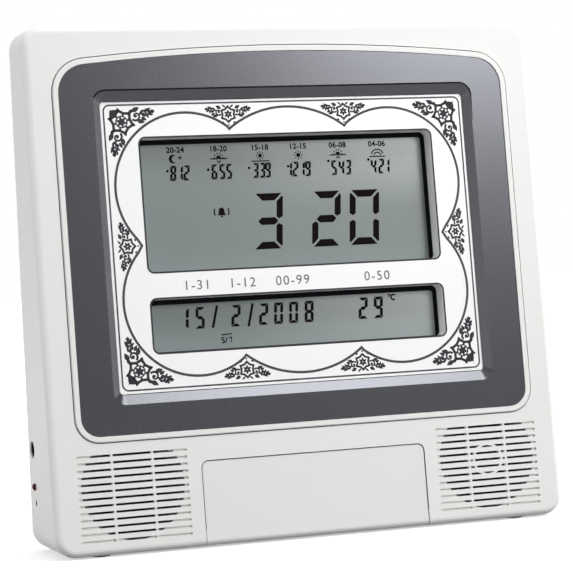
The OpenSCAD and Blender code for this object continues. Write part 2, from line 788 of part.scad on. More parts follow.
// Moulded frame behind the panel, which holds both displays and the main board.
module display_frame() {
    color(pale) difference() {
        union() {
            face_slab(bezel_back, bezel_back + flange_t)
                rounded_rect(flange_half_w, flange_z0, flange_z1, 4);
            face_slab(bezel_back, board_y) rounded_rect(block_half_w, block_z0, block_z1, 2);
            for (sx = [-1, 1], z = post_z) face_rod(sx * post_x, z, bezel_back, board_y, post_r);
        }
        face_slab(bezel_back - cut, glass_depth + cut) window_drawing(0.2);
        face_slab(glass_depth, board_y + cut) {
            rounded_rect(glass_half_w + glass_gap, lower_z0 - glass_edge - glass_gap,
                lower_z1 + glass_edge + glass_gap, 0.5);
            rounded_rect(glass_half_w + glass_gap, upper_z0 - glass_edge - glass_gap,
                upper_z1 + glass_edge + glass_gap, 0.5);
        }
        for (sx = [-1, 1], z = post_z)
            face_rod(sx * post_x, z, board_y - post_bore, board_y + cut, screw_r + screw_gap);
        for (p = frame_screw_places)
            face_rod(p[0], p[1], bezel_back - cut, bezel_back + flange_t + cut, screw_r + 0.2);
    }
}

// One display: a glass sandwich behind its window.
module display(z0, z1) {
    color("#98A09E") face_slab(glass_depth, glass_back)
        rounded_rect(glass_half_w, z0 - glass_edge, z1 + glass_edge, 0.5);
}

// Rubber strips that join a display's edges to the board.
module contact_strips(z0, z1) {
    color("#3A3A3E") for (z = [z0 - glass_edge + 0.4, z1 + glass_edge - 0.4 - strip_w])
        face_slab(glass_back, board_y) translate([-strip_half_w, z]) square([2 * strip_half_w, strip_w]);
}

// Main circuit board, screwed to the display frame.
module main_board() {
    color(board_green) difference() {
        face_slab(board_y, board_back) rounded_rect(board_half_w, board_z0, board_z1, 2);
        for (sx = [-1, 1], z = post_z)
            face_rod(sx * post_x, z, board_y - cut, board_back + cut, screw_r + 0.2);
    }
}

// Potted processor, memory and amplifier chips on the back of the main board.
module processor_chips() {
    color(black) {
        face_rod(-chip_x, chip_z, board_back, board_back + chip_t, chip_r);
        face_rod(chip_x, chip_z, board_back, board_back + chip_t, small_chip_r);
        for (sx = [-1, 1]) face_slab(board_back, board_back + amplifier_t)
            translate([sx * amplifier_x - amplifier_w / 2, amplifier_z]) square([amplifier_w, amplifier_h]);
    }
}

// Electrolytic capacitors that stand off the main board.
module capacitors() {
    color("#2B3A5A") for (x = [-0.54, -0.37, 0.54, 0.72] * window_half_w)
        face_rod(x, capacitor_z, board_back, board_back + capacitor_h, capacitor_r);
}

// Timing crystal in its can.
module timing_crystal() {
    color(steel) face_slab(board_back, board_back + amplifier_t)
        rounded_rect(crystal_half_w, crystal_z, crystal_z + crystal_h, crystal_h / 2 - 0.1);
}

// Sockets for the leads, on the main board and on the key board.
module cable_connectors() {
    color("#E8E2D0") {
        for (x = [-lead_far_x, -lead_near_x, lead_near_x, lead_far_x])
            face_slab(board_back, board_back + connector_t)
                translate([x - connector_w / 2, connector_z0]) square([connector_w, connector_h]);
        face_slab(board_back, board_back + connector_t)
            translate([-ribbon_w / 2 - 1, connector_z0]) square([ribbon_w + 2, connector_h]);
        face_slab(key_board_back, key_board_back + connector_t)
            translate([-ribbon_w / 2 - 1, key_connector_z]) square([ribbon_w + 2, key_connector_h]);
    }
}

// Drop-down flap with a hinge barrel, hinge pins and a snap latch.
module control_flap() {
    color(pale) {
        face_slab(flap_in, flap_back) difference() {
            rounded_rect(flap_half_w, hinge_z - flap_r - cut, flap_top, flap_r);
            translate([-case_w / 2, hinge_z - 2 * flap_r - 2 * cut]) square([case_w, 2 * flap_r + 2 * cut]);
        }
        face_frame() translate([0, hinge_y, hinge_z]) rotate([0, 90, 0]) {
            cylinder(r = barrel_r, h = 2 * flap_half_w, center = true);
            cylinder(r = pin_r, h = 2 * (flap_half_w + pin_l), center = true);
        }
        face_slab(flap_back - 0.1, flap_back + latch_l)
            translate([-latch_w / 2, flap_top - latch_t - 0.3]) square([latch_w, latch_t]);
    }
}

// One push key: cap, retaining flange and stem.
module key(i) {
    p = key_place(i);
    rear = key_plate_back + key_rest;
    color("#C9CBCC") {
        face_slab(key_front, rear + 0.1)
            translate(p) rounded_rect(key_w / 2, -key_h / 2, key_h / 2, 1.3);
        face_slab(rear, rear + key_flange_t) translate(p) rounded_rect(key_w / 2 + key_flange_w,
            -key_h / 2 - key_flange_w, key_h / 2 + key_flange_w, 1);
        face_rod(p[0], p[1], rear + 0.5, key_stem_end, key_stem_r);
    }
}

// Circuit board under the keys.
module key_board() {
    color(board_green) difference() {
        face_slab(key_board_y, key_board_back)
            rounded_rect(key_board_half_w, key_board_z0, key_board_z1, 2);
        for (sx = [-1, 1], z = key_post_z)
            face_rod(sx * key_post_x, z, key_board_y - cut, key_board_back + cut, screw_r + 0.2);
    }
}

// Push switches under the keys.
module key_switches() {
    color(black) for (i = [0:7]) {
        p = key_place(i);
        face_slab(switch_front, key_board_y)
            translate([p[0] - switch_w / 2, p[1] - switch_w / 2]) square([switch_w, switch_w]);
        face_rod(p[0], p[1], plunger_front, switch_front + 0.1, plunger_r);
    }
}

// Turns a profile of radius and depth about a speaker's axis.
module speaker_turn(side) {
    face_frame() translate([side * speaker_x, speaker_seat, speaker_z]) rotate([-90, 0, 0])
        rotate_extrude() children();
}

// Pressed steel frame of a speaker, with its terminal strip.
module speaker_frame(side) {
    color(steel) {
        speaker_turn(side) {
            translate([cone_r, 0]) square([rim_w, rim_t]);
            polygon([[cone_r, 0], [cone_r + sheet_t, 0], [cone_r + sheet_t, rim_step],
                [basket_r + sheet_t, basket_d - sheet_t],
                [basket_r + sheet_t, basket_d], [basket_r - 4, basket_d],
                [basket_r - 4, basket_d - sheet_t], [basket_r, basket_d - sheet_t],
                [cone_r, rim_step]]);
        }
        face_slab(terminal_back - 4, terminal_back) translate([side * speaker_x - terminal_w / 2,
            speaker_z + terminal_out - terminal_t / 2]) square([terminal_w, terminal_t]);
    }
}

// Paper cone of a speaker, with its rolled surround and voice coil.
module speaker_cone(side) {
    coil_r = basket_r - 6;
    color("#26262A") speaker_turn(side)
        polygon([[cone_r - 0.3, 0.4], [cone_r - 0.3, 1.4], [coil_r + 0.9, basket_d - 2.6],
            [coil_r + 0.9, basket_d + 1.5], [coil_r, basket_d + 1.5], [coil_r, basket_d - 3],
            [cone_r - 3, 0.9]]);
}

// Domed cap in the middle of a speaker's cone.
module dust_cap(side) {
    cap_d = basket_d - 5.2;
    color("#3A3A40") face_frame() translate([side * speaker_x, speaker_seat + cap_d, speaker_z])
        rotate([-90, 0, 0]) intersection() {
            translate([0, 0, dust_r * 0.7]) sphere(r = dust_r);
            cylinder(r = basket_r - 6.1, h = 2.6);
        }
}

// Ring magnet, plates and pole of a speaker.
module speaker_magnet(side) {
    color("#4A4A4E") speaker_turn(side) {
        translate([basket_r - 4, basket_d]) square([magnet_r - basket_r + 4, speaker_depth - basket_d]);
        translate([0, basket_d + 2.5]) square([magnet_r - 2, speaker_depth - basket_d - 2.5]);
    }
}

// Board inside the left wall.
module side_board() {
    color(board_green) difference() {
        translate([side_board_x, side_board_y[0], side_board_z[0]])
            cube([board_t, side_board_y[1] - side_board_y[0], side_board_z[1] - side_board_z[0]]);
        for (p = side_boss_places)
            side_rod(p[0], p[1], side_board_x - cut, side_board_x + board_t + cut, screw_r + 0.2);
    }
}

// Low-voltage power inlet with its centre pin.
module power_inlet() {
    mouth_x = side_x + inlet_recess;
    color(black) {
        difference() {
            union() {
                side_rod(inlet_y, inlet_z, mouth_x, side_in + 1, inlet_r);
                translate([side_in + 0.2, inlet_y - inlet_body_w / 2, inlet_z - inlet_body_h / 2])
                    cube([side_board_x - side_in - 0.2, inlet_body_w, inlet_body_h]);
            }
            side_rod(inlet_y, inlet_z, mouth_x - cut, mouth_x + inlet_bore_l, inlet_bore_r);
        }
        side_rod(inlet_y, inlet_z, mouth_x + 1, mouth_x + inlet_bore_l + 1, inlet_pin_r);
    }
}

// Red lamp on its two legs.
module power_lamp() {
    dome_x = side_x + lamp_r - lamp_out;
    color("#B0182A") {
        translate([dome_x, lamp_y, lamp_z]) sphere(r = lamp_r);
        side_rod(lamp_y, lamp_z, dome_x, side_in + 3, lamp_r);
        side_rod(lamp_y, lamp_z, side_in + 2, side_in + 3, lamp_r + 0.5);
        for (sz = [-1, 1])
            translate([side_in + 2.5, lamp_y - 0.25, lamp_z + sz * 1.27 - 0.25])
                cube([side_board_x - side_in - 2.5, 0.5, 0.5]);
    }
}

// Plunger behind the reset hole, with a collar that keeps it in the case.
module reset_button() {
    color("#3C3C40") {
        side_rod(reset_y, reset_z, side_x + reset_recess, reset_end_x, reset_r);
        side_rod(reset_y, reset_z, side_in + 0.1, side_in + 0.1 + reset_collar_t, reset_r + 1);
    }
}

// Push switch behind the reset plunger.
module reset_switch() {
    color(black) {
        translate([side_switch_x, reset_y - switch_w / 2, reset_z - switch_w / 2])
            cube([switch_t, switch_w, switch_w]);
        side_rod(reset_y, reset_z, side_switch_x - plunger_l, side_switch_x + 0.1, plunger_r);
    }
}

// The way round that one cell lies: 1 points its nub to +X.
function cell_turn(i) = i % 2 == 0 ? 1 : -1;

// Height of one cell.
function cell_z(i) = bay_z0 + cell_r + 0.5 + i * cell_pitch;

// The flat end and the nub end of one cell, along X.
function cell_flat_x(i) = -cell_turn(i) * (bay_half_w - contact_t - spring_l);

// One battery cell.
module cell(i) {
    t = cell_turn(i);
    flat_x = cell_flat_x(i);
    shoulder_x = flat_x + t * (cell_l - nub_l);
    color("#3F7A58") {
        side_rod(cell_y, cell_z(i), min(flat_x, shoulder_x), max(flat_x, shoulder_x), cell_r);
        side_rod(cell_y, cell_z(i), min(shoulder_x, shoulder_x + t * nub_l),
            max(shoulder_x, shoulder_x + t * nub_l), nub_r);
    }
}

// Conical springs at the flat ends of the cells.
module battery_springs() {
    color(steel) for (i = [0:bay_cells - 1])
        translate([-cell_turn(i) * (bay_half_w - contact_t), cell_y, cell_z(i)])
            rotate([0, cell_turn(i) * 90, 0]) rotate_extrude()
                polygon([[spring_base_r - spring_band, 0], [spring_base_r, 0],
                    [spring_tip_r, spring_l], [spring_tip_r - spring_band, spring_l]]);
}

// Flat contact plates at both ends of the bay.
module battery_contacts() {
    color(steel) for (sx = [-1, 1], i = [0:bay_cells - 1])
        translate([sx * (bay_half_w - contact_t / 2), cell_y, cell_z(i)])
            cube([contact_t, contact_w, contact_w], center = true);
}

// Battery door: swings out about its lower edge and has a springy tongue at the top.
module battery_door() {
    slit_z = door_z1 - tongue_l;
    color(white) difference() {
        union() {
            back_slab(door_y0, door_y0 + door_t)
                translate([-door_half_w, door_hinge_z]) square([2 * door_half_w, door_z1 - door_hinge_z]);
            side_rod(door_hinge_y, door_hinge_z, -door_half_w, door_half_w, door_barrel_r);
            side_rod(door_hinge_y, door_hinge_z, -door_half_w - door_pin_l, door_half_w + door_pin_l,
                door_pin_r);
        }
        for (sx = [-1, 1]) back_slab(door_y0 - cut, door_y0 + door_t + cut)
            translate([sx * tongue_half_w - slit_w / 2, slit_z]) square([slit_w, tongue_l + cut]);
        for (dz = [0:1.6:3.2]) back_slab(door_y0 + door_t - 0.4, door_y0 + door_t + cut)
            translate([2 - tongue_half_w, door_z1 - 3 - dz]) square([2 * tongue_half_w - 4, 0.7]);
    }
}

// Four rubber feet, set into the base.
module rubber_feet() {
    color(black) for (p = feet_places)
        translate([p[0], p[1], 0]) cylinder(r = foot_r, h = foot_h + foot_seat);
}

// One screw with its head towards the back, in the face frame.
module face_screw(x, z, seat_y, r, length) {
    face_rod(x, z, seat_y - length, seat_y + 0.1, screw_r);
    face_rod(x, z, seat_y, seat_y + head_h, r);
}

// Six screws that hold the rear cover.
module cover_screws() {
    seat_y = back_y - head_h - 0.2;
    color(steel) for (p = cover_places) {
        back_rod(p[0], p[1], seat_y - cover_boss_bore + 1.5, seat_y + 0.1, screw_r);
        back_rod(p[0], p[1], seat_y, seat_y + head_h, head_r);
    }
}

// Washer-head screws that clamp the speakers' rims.
module speaker_screws() {
    color(steel) for (side = [-1, 1], p = clamp_places)
        face_screw(side * speaker_x + p[0], speaker_z + p[1], rim_back, washer_r,
            min(screw_l, rim_back - 1) - 0.2);
}

// Washer-head screws that clamp the bezel's flange.
module bezel_screws() {
    color(steel) for (p = bezel_screw_places) face_screw(p[0], p[1], bezel_back, washer_r, screw_l);
}

// Screws that hold the display frame to the bezel.
module frame_screws() {
    color(steel) for (p = frame_screw_places)
        face_screw(p[0], p[1], bezel_back + flange_t, head_r, screw_l);
}

// Screws of the main board, the key board and the side board.
module board_screws() {
    color(steel) {
        for (sx = [-1, 1], z = post_z) face_screw(sx * post_x, z, board_back, head_r, screw_l);
        for (sx = [-1, 1], z = key_post_z) face_screw(sx * key_post_x, z, key_board_back, head_r, screw_l);
        for (p = side_boss_places) {
            side_rod(p[0], p[1], side_board_x - screw_l + board_t, side_board_x + board_t + 0.1, screw_r);
            side_rod(p[0], p[1], side_board_x + board_t, side_board_x + board_t + head_h, head_r);
        }
    }
}

// Flat cable between the key board's socket and the main board's socket.
module ribbon_cable() {
    low_z = key_connector_z + key_connector_h;
    low_y = key_board_back + ribbon_y;
    high_z = connector_z0;
    high_y = board_back + ribbon_y;
    straight = 4;
    color("#8C8F94") face_frame() translate([-ribbon_w / 2, 0, 0]) rotate([90, 0, 90])
        linear_extrude(ribbon_w) polygon([[low_y, low_z], [low_y + ribbon_t, low_z],
            [low_y + ribbon_t, low_z + straight], [high_y + ribbon_t, high_z - straight],
            [high_y + ribbon_t, high_z], [high_y, high_z], [high_y, high_z - straight],
            [low_y, low_z + straight]]);
}

// A smooth curve through a list of points, with straight first and last runs.
function route_point(p, i, t) = let (
    a = p[max(i - 1, 0)], b = p[i], c = p[i + 1], d = p[min(i + 2, len(p) - 1)])
    0.5 * (2 * b + (c - a) * t + (2 * a - 5 * b + 4 * c - d) * t * t
        + (3 * b - a - 3 * c + d) * t * t * t);
function smooth_route(p) = concat([p[0]],
    [for (i = [1:len(p) - 3], s = [0:lead_steps - 1]) route_point(p, i, s / lead_steps)],
    [p[len(p) - 2], p[len(p) - 1]]);

// Direction of a route at one of its points.
function route_way(q, i) = let (v = q[min(i + 1, len(q) - 1)] - q[max(i - 1, 0)]) v / norm(v);

// Sweeps a round lead along a route; across is a direction that the route never takes.
module lead(p, across) {
    q = smooth_route(p);
    n = len(q);
    rings = [for (i = [0:n - 1]) let (
        way = route_way(q, i),
        u = cross(way, across) / norm(cross(way, across)),
        v = cross(way, u))
        for (k = [0:lead_sides - 1]) let (a = 360 * k / lead_sides)
            q[i] + lead_r * (cos(a) * u + sin(a) * v)];
    sides = [for (i = [0:n - 2], k = [0:lead_sides - 1]) let (m = (k + 1) % lead_sides)
        [i * lead_sides + k, i * lead_sides + m, (i + 1) * lead_sides + m, (i + 1) * lead_sides + k]];
    ends = [[for (k = [lead_sides - 1:-1:0]) k], [for (k = [0:lead_sides - 1]) (n - 1) * lead_sides + k]];
    color("#3B3B40") polyhedron(points = rings, faces = concat(
        [for (f = sides) [f[3], f[2], f[1], f[0]]], [for (f = ends) [for (k = [len(f) - 1:-1:0]) f[k]]]));
}

// Depth of the leads' ends in the sockets of the main board.
lead_y = board_back + connector_t / 2;

// Lead from the main board down to a speaker's terminals.
module speaker_lead(side) {
    top_x = side * lead_far_x;
    low_x = side * speaker_x;
    low_z = speaker_z + terminal_out;
    start_z = connector_z0 - lead_drop;
    fall = start_z - low_z;
    lead([to_world([top_x, lead_y, connector_z0]), to_world([top_x, lead_y, start_z]),
        to_world([0.8 * top_x + 0.2 * low_x, lead_y, start_z - 0.35 * fall]),
        to_world([0.3 * top_x + 0.7 * low_x, lead_y, low_z + 0.35 * fall]),
        to_world([low_x, terminal_back + lead_drop, low_z]), to_world([low_x, terminal_back, low_z])],
        [1, 0, 0.4]);
}

// Lead from the main board down to the battery bay.
module battery_lead() {
    end_y = bay_front_y + 2 * lead_r + 2;
    end_x = 0.65 * bay_out_w;
    lead([to_world([lead_near_x, lead_y, connector_z0]),
        to_world([lead_near_x, lead_y, connector_z0 - lead_drop]),
        [0.4 * lead_near_x + 0.6 * end_x, end_y - 2, bay_out_z1 + 2.2 * lead_drop],
        [end_x, end_y, bay_out_z1 + lead_drop], [end_x, end_y, bay_out_z1]],
        [1, 0, 0]);
}

// Lead from the main board across to the side board.
module side_board_lead() {
    end_x = side_board_x + board_t;
    end_z = inlet_z - inlet_body_h / 2 - side_lead_drop;
    near_x = -bay_out_w - 1.6 * lead_drop;
    lead([to_world([-lead_near_x, lead_y, connector_z0]),
        to_world([-lead_near_x, lead_y, connector_z0 - lead_drop]),
        [near_x, bay_front_y + lead_r, bay_out_z1 + 2 * lead_drop],
        [0.6 * near_x + 0.4 * end_x, inlet_y - 3 * lead_r, bay_out_z1],
        [0.25 * near_x + 0.75 * end_x, inlet_y - lead_r, end_z + 0.7 * lead_drop],
        [end_x + lead_drop, inlet_y - lead_r, end_z], [end_x, inlet_y - lead_r, end_z]],
        [0, 1, 0]);
}

front_shell();
rear_cover();
bezel_frame();
face_panel();
display_frame();
display(upper_z0, upper_z1);  // upper_display
display(lower_z0, lower_z1);  // lower_display
contact_strips(upper_z0, upper_z1);  // upper_contact_strips
contact_strips(lower_z0, lower_z1);  // lower_contact_strips
main_board();
processor_chips();
capacitors();
timing_crystal();
cable_connectors();
control_flap();
key(0);  // key_1
key(1);  // key_2
key(2);  // key_3
key(3);  // key_4
key(4);  // key_5
key(5);  // key_6
key(6);  // key_7
key(7);  // key_8
key_board();
key_switches();
speaker_frame(-1);  // left_speaker_frame
speaker_frame(1);  // right_speaker_frame
speaker_cone(-1);  // left_speaker_cone
speaker_cone(1);  // right_speaker_cone
dust_cap(-1);  // left_dust_cap
dust_cap(1);  // right_dust_cap
speaker_magnet(-1);  // left_magnet
speaker_magnet(1);  // right_magnet
side_board();
power_inlet();
power_lamp();
reset_button();
reset_switch();
cell(0);  // battery_1
cell(1);  // battery_2
cell(2);  // battery_3
battery_springs();
battery_contacts();
battery_door();
rubber_feet();
cover_screws();
speaker_screws();
bezel_screws();
frame_screws();
board_screws();
ribbon_cable();
speaker_lead(-1);  // left_speaker_lead
speaker_lead(1);  // right_speaker_lead
battery_lead();
side_board_lead();
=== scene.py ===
import json
import math

import bpy
from mathutils import Matrix, Vector


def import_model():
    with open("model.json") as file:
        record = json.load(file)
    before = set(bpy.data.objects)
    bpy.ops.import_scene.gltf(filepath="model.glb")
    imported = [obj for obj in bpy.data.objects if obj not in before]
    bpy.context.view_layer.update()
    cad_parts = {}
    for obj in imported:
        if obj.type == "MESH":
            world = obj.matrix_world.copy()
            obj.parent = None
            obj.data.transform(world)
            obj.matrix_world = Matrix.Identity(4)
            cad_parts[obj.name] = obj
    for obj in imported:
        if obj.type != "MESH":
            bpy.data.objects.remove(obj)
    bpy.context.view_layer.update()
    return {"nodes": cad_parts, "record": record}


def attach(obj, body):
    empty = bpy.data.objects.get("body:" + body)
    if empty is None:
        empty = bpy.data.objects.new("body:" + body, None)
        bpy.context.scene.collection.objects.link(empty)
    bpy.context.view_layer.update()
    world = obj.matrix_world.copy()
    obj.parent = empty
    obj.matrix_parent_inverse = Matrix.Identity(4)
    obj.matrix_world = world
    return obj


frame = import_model()
nodes = frame["nodes"]

# The leaning face frame of the CAD: x across, y into the case, z up the face, in millimetres.
MM_PER_M = 1000
LEAN = math.radians(5.1)
LEAN_COS, LEAN_SIN = math.cos(LEAN), math.sin(LEAN)
HALF_DEPTH = 26.5
EDGE_R = 3.5
FRONT_Y = -HALF_DEPTH - EDGE_R * (LEAN_COS + LEAN_SIN - 1)
FOOT_H = 1.0
BEZEL_Y = 0.0
PANEL_Y = 3.5
GLASS_Y = 12.5

# The two windows: lower and upper edge, and what both share.
UPPER_WINDOW = (141.7, 210.77)
LOWER_WINDOW = (100.2, 127.5)
WINDOW_HALF_W = 81.0
WINDOW_R = 3.0


def world(x, y, z):
    """A point of the face frame as a point of the part, in metres."""
    return Vector((x, FRONT_Y + y * LEAN_COS + z * LEAN_SIN,
                   FOOT_H - y * LEAN_SIN + z * LEAN_COS)) / MM_PER_M


def turn(v):
    """A direction of the face frame as a direction of the part."""
    return Vector((v[0], v[1] * LEAN_COS + v[2] * LEAN_SIN, -v[1] * LEAN_SIN + v[2] * LEAN_COS))


# ---------------------------------------------------------------- materials

FINE_DETAIL = 4
BROAD_SCALE, BROAD_DETAIL, BROAD_SHARE = 18, 2, 0.4
RAMP_LOW, RAMP_HIGH = 0.35, 0.65


def first_node(tree, kind):
    return next(n for n in tree.nodes if n.type == kind)


def noise(tree, place, scale, detail):
    """Noise in the object's own coordinates."""
    n = tree.nodes.new("ShaderNodeTexNoise")
    n.inputs["Scale"].default_value = scale
    n.inputs["Detail"].default_value = detail
    tree.links.new(place.outputs["Object"], n.inputs["Vector"])
    return n.outputs["Fac"]


def map_range(tree, source, from_low=0.0, from_high=1.0, to_low=0.0, to_high=1.0):
    n = tree.nodes.new("ShaderNodeMapRange")
    n.inputs["From Min"].default_value = from_low
    n.inputs["From Max"].default_value = from_high
    n.inputs["To Min"].default_value = to_low
    n.inputs["To Max"].default_value = to_high
    tree.links.new(source, n.inputs["Value"])
    return n.outputs["Result"]


def material(name, color, rough, metallic=0.0, vary=0.02, grain=600.0, bump=0.02,
             rough_vary=0.05, spec=0.5, bump_mm=0.1):
    """A procedural material: a grained colour, a grained roughness and a fine bump."""
    m = bpy.data.materials.new(name)
    m.use_nodes = True
    tree = m.node_tree
    n, l = tree.nodes, tree.links
    b = n["Principled BSDF"]
    b.inputs["Metallic"].default_value = metallic
    b.inputs["Specular IOR Level"].default_value = spec
    place = n.new("ShaderNodeTexCoord")
    fine = noise(tree, place, grain, FINE_DETAIL)
    broad = noise(tree, place, BROAD_SCALE, BROAD_DETAIL)
    mix = n.new("ShaderNodeMix")
    mix.data_type = "FLOAT"
    mix.inputs["Factor"].default_value = BROAD_SHARE
    l.new(fine, mix.inputs["A"])
    l.new(broad, mix.inputs["B"])
    grained = mix.outputs["Result"]
    ramp = n.new("ShaderNodeValToRGB")
    low, high = ramp.color_ramp.elements
    low.position, high.position = RAMP_LOW, RAMP_HIGH
    low.color = (*[c * (1 - vary) for c in color], 1)
    high.color = (*[c * (1 + vary) for c in color], 1)
    l.new(grained, ramp.inputs["Fac"])
    l.new(ramp.outputs["Color"], b.inputs["Base Color"])
    roughness = map_range(tree, grained, to_low=rough - rough_vary, to_high=rough + rough_vary)
    l.new(roughness, b.inputs["Roughness"])
    if bump:
        relief = n.new("ShaderNodeBump")
        relief.inputs["Strength"].default_value = bump
        relief.inputs["Distance"].default_value = bump_mm / MM_PER_M
        l.new(fine, relief.inputs["Height"])
        l.new(relief.outputs["Normal"], b.inputs["Normal"])
    return m


# Each material's colour, its roughness, and what it has other than material()'s defaults.
LOOKS = {
    "housing": ((0.80, 0.80, 0.785), 0.42, dict(vary=0.012, grain=900, bump=0.25, bump_mm=0.03)),
    "flap": ((0.775, 0.78, 0.775), 0.40, dict(vary=0.012, grain=900, bump=0.2, bump_mm=0.03)),
    "bezel": ((0.054, 0.055, 0.060), 0.27,
              dict(metallic=1.0, vary=0.03, grain=2200, bump=0.04, bump_mm=0.02, rough_vary=0.02)),
    "panel": ((0.95, 0.95, 0.955), 0.30, dict(vary=0.006, grain=1200, bump=0.05, bump_mm=0.02)),
    "inner_frame": ((0.90, 0.90, 0.905), 0.45,
                    dict(vary=0.03, grain=800, bump=0.15, bump_mm=0.03)),
    "display_glass": ((0.129, 0.157, 0.155), 0.36,
                      dict(vary=0.015, grain=3000, bump=0.04, bump_mm=0.01, spec=0.6)),
    "strip_rubber": ((0.03, 0.03, 0.034), 0.8, dict(grain=500, bump=0.2)),
    "circuit": ((0.02, 0.14, 0.06), 0.4, dict(vary=0.2, grain=250, bump=0.1)),
    "chip": ((0.012, 0.012, 0.014), 0.5, dict(grain=900, bump=0.2)),
    "capacitor": ((0.02, 0.03, 0.09), 0.35, dict(grain=500, bump=0.05)),
    "bright_steel": ((0.62, 0.62, 0.64), 0.28, dict(metallic=1.0, grain=1500, bump=0.05)),
    "dark_steel": ((0.03, 0.03, 0.033), 0.5, dict(grain=900, bump=0.1)),
    "connector": ((0.72, 0.68, 0.56), 0.5, dict(grain=800, bump=0.1)),
    "key": ((0.55, 0.56, 0.57), 0.42, dict(grain=900, bump=0.15, bump_mm=0.03)),
    "cone_paper": ((0.018, 0.018, 0.02), 0.9, dict(vary=0.3, grain=300, bump=0.5)),
    "cap_paper": ((0.028, 0.028, 0.03), 0.85, dict(vary=0.3, grain=300, bump=0.5)),
    "magnet": ((0.03, 0.03, 0.034), 0.7, dict(grain=400, bump=0.3)),
    "black_plastic": ((0.003, 0.003, 0.0035), 0.5, dict(grain=900, bump=0.1, spec=0.03)),
    "lamp_lens": ((0.06, 0.002, 0.01), 0.25, dict(vary=0.1, grain=700, bump=0.0, spec=0.08)),
    "reset_plastic": ((0.03, 0.03, 0.032), 0.5, dict(grain=900, bump=0.1)),
    "cell": ((0.05, 0.19, 0.10), 0.35, dict(vary=0.05, grain=300, bump=0.03)),
    "foot_rubber": ((0.014, 0.014, 0.015), 0.85, dict(grain=500, bump=0.4)),
    "cable": ((0.035, 0.035, 0.04), 0.6, dict(grain=700, bump=0.15)),
    "ink": ((0.034, 0.034, 0.04), 0.5, dict(vary=0.12, grain=1500, bump=0.0, spec=0.15)),
    "line_ink": ((0.055, 0.055, 0.062), 0.5, dict(vary=0.10, grain=1500, bump=0.0, spec=0.2)),
    "label_ink": ((0.10, 0.10, 0.11), 0.5, dict(vary=0.10, grain=1500, bump=0.0, spec=0.3)),
    "segment": ((0.006, 0.004, 0.004), 0.5, dict(vary=0.2, grain=1500, bump=0.0, spec=0.02)),
    # painted shade for the groove round the bezel
    "groove_shade": ((0.09, 0.09, 0.095), 0.6, dict(vary=0.2, grain=900, bump=0.2, spec=0.2)),
    # black for painted shade: the bezel's edge, the gap round the flap and the displays' edges
    "shade_black": ((0.004, 0.004, 0.005), 0.6, dict(vary=0.2, grain=900, bump=0.2, spec=0.05)),
}
M = {name: material(name, color, rough, **rest) for name, (color, rough, rest) in LOOKS.items()}
SLOTS = {n["node"]: n["material_slot"] for n in frame["record"]["subparts"]}
for node, o in nodes.items():
    key = "dark_steel" if node.endswith("speaker_frame") else SLOTS[node]
    for s in o.material_slots:
        s.link = "OBJECT"
        s.material = M[key]

# The painted reflection on the display glasses, which brightens them towards their upper right: its
# colour, and where it starts and ends, in metres.
PAINTED_REFLECTION = (0.42, 0.46, 0.455, 1)
REFLECTION_ACROSS = (-0.03, 0.082)
REFLECTION_UP = {"upper_display": (0.170, 0.212), "lower_display": (0.09, 0.13)}


def display_glass(name, up):
    """Display glass: grey-green, with a painted reflection that brightens it towards its upper
    right.
    """
    m = M["display_glass"].copy()
    m.name = name
    tree = m.node_tree
    n, l = tree.nodes, tree.links
    split = n.new("ShaderNodeSeparateXYZ")
    l.new(first_node(tree, "TEX_COORD").outputs["Object"], split.inputs["Vector"])
    both = n.new("ShaderNodeMath")
    both.operation = "MULTIPLY"
    l.new(map_range(tree, split.outputs["X"], *REFLECTION_ACROSS), both.inputs[0])
    l.new(map_range(tree, split.outputs["Z"], *up), both.inputs[1])
    mix = n.new("ShaderNodeMix")
    mix.data_type = "RGBA"
    mix.inputs["B"].default_value = PAINTED_REFLECTION
    l.new(both.outputs["Value"], mix.inputs["Factor"])
    l.new(first_node(tree, "VALTORGB").outputs["Color"], mix.inputs["A"])
    l.new(mix.outputs["Result"], n["Principled BSDF"].inputs["Base Color"])
    return m


for node, up in REFLECTION_UP.items():
    for s in nodes[node].material_slots:
        s.material = display_glass(node + "_glass", up)

# ---------------------------------------------------------------- flat printed shapes

MITRE_LIMIT = 0.45
# How thick the shapes are: painted shade, plain print, and ornament.
SHADE_T, PRINT_T, ORNAMENT_T = 0.03, 0.04, 0.05


def area2(poly):
    """Twice the area of an outline, above zero where it runs anticlockwise."""
    return sum(a[0] * b[1] - b[0] * a[1] for a, b in zip(poly, poly[1:] + poly[:1]))


def print_mesh(name, polys, y, mat, thick):
    """Thin solid shapes that stand on a plane of the face: polys are outlines of (x, z) points."""
    verts, faces = [], []
    for poly in polys:
        poly = list(poly)
        if area2(poly) < 0:
            poly.reverse()
        k, n = len(verts), len(poly)
        verts += [world(x, y - thick, z) for x, z in poly]
        verts += [world(x, y, z) for x, z in poly]
        faces.append([k + i for i in range(n)])
        faces += [[k + i, k + n + i, k + n + (i + 1) % n, k + (i + 1) % n] for i in range(n)]
    me = bpy.data.meshes.new(name)
    me.from_pydata(verts, [], faces)
    me.update()
    me.materials.append(mat)
    o = bpy.data.objects.new(name, me)
    bpy.context.scene.collection.objects.link(o)
    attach(o, "case")


def strip(points, width, closed=False):
    """Quads that follow a line. width is a number or a function of the share of the way along."""
    n = len(points)
    w = width if callable(width) else (lambda t: width)
    left, right = [], []
    for i, p in enumerate(points):
        a = points[i - 1] if i or closed else p
        b = points[(i + 1) % n] if i < n - 1 or closed else p
        d = Vector((b[0] - a[0], b[1] - a[1])).normalized()
        h = w(i / (n - 1)) / 2
        # a mitred corner keeps the line's width
        if 0 < i < n - 1 or closed:
            e = Vector((p[0] - a[0], p[1] - a[1])).normalized()
            h /= max(MITRE_LIMIT, abs(e.dot(d)))
        left.append((p[0] - d.y * h, p[1] + d.x * h))
        right.append((p[0] + d.y * h, p[1] - d.x * h))
    m = n if closed else n - 1
    return [[left[i], left[(i + 1) % n], right[(i + 1) % n], right[i]] for i in range(m)]


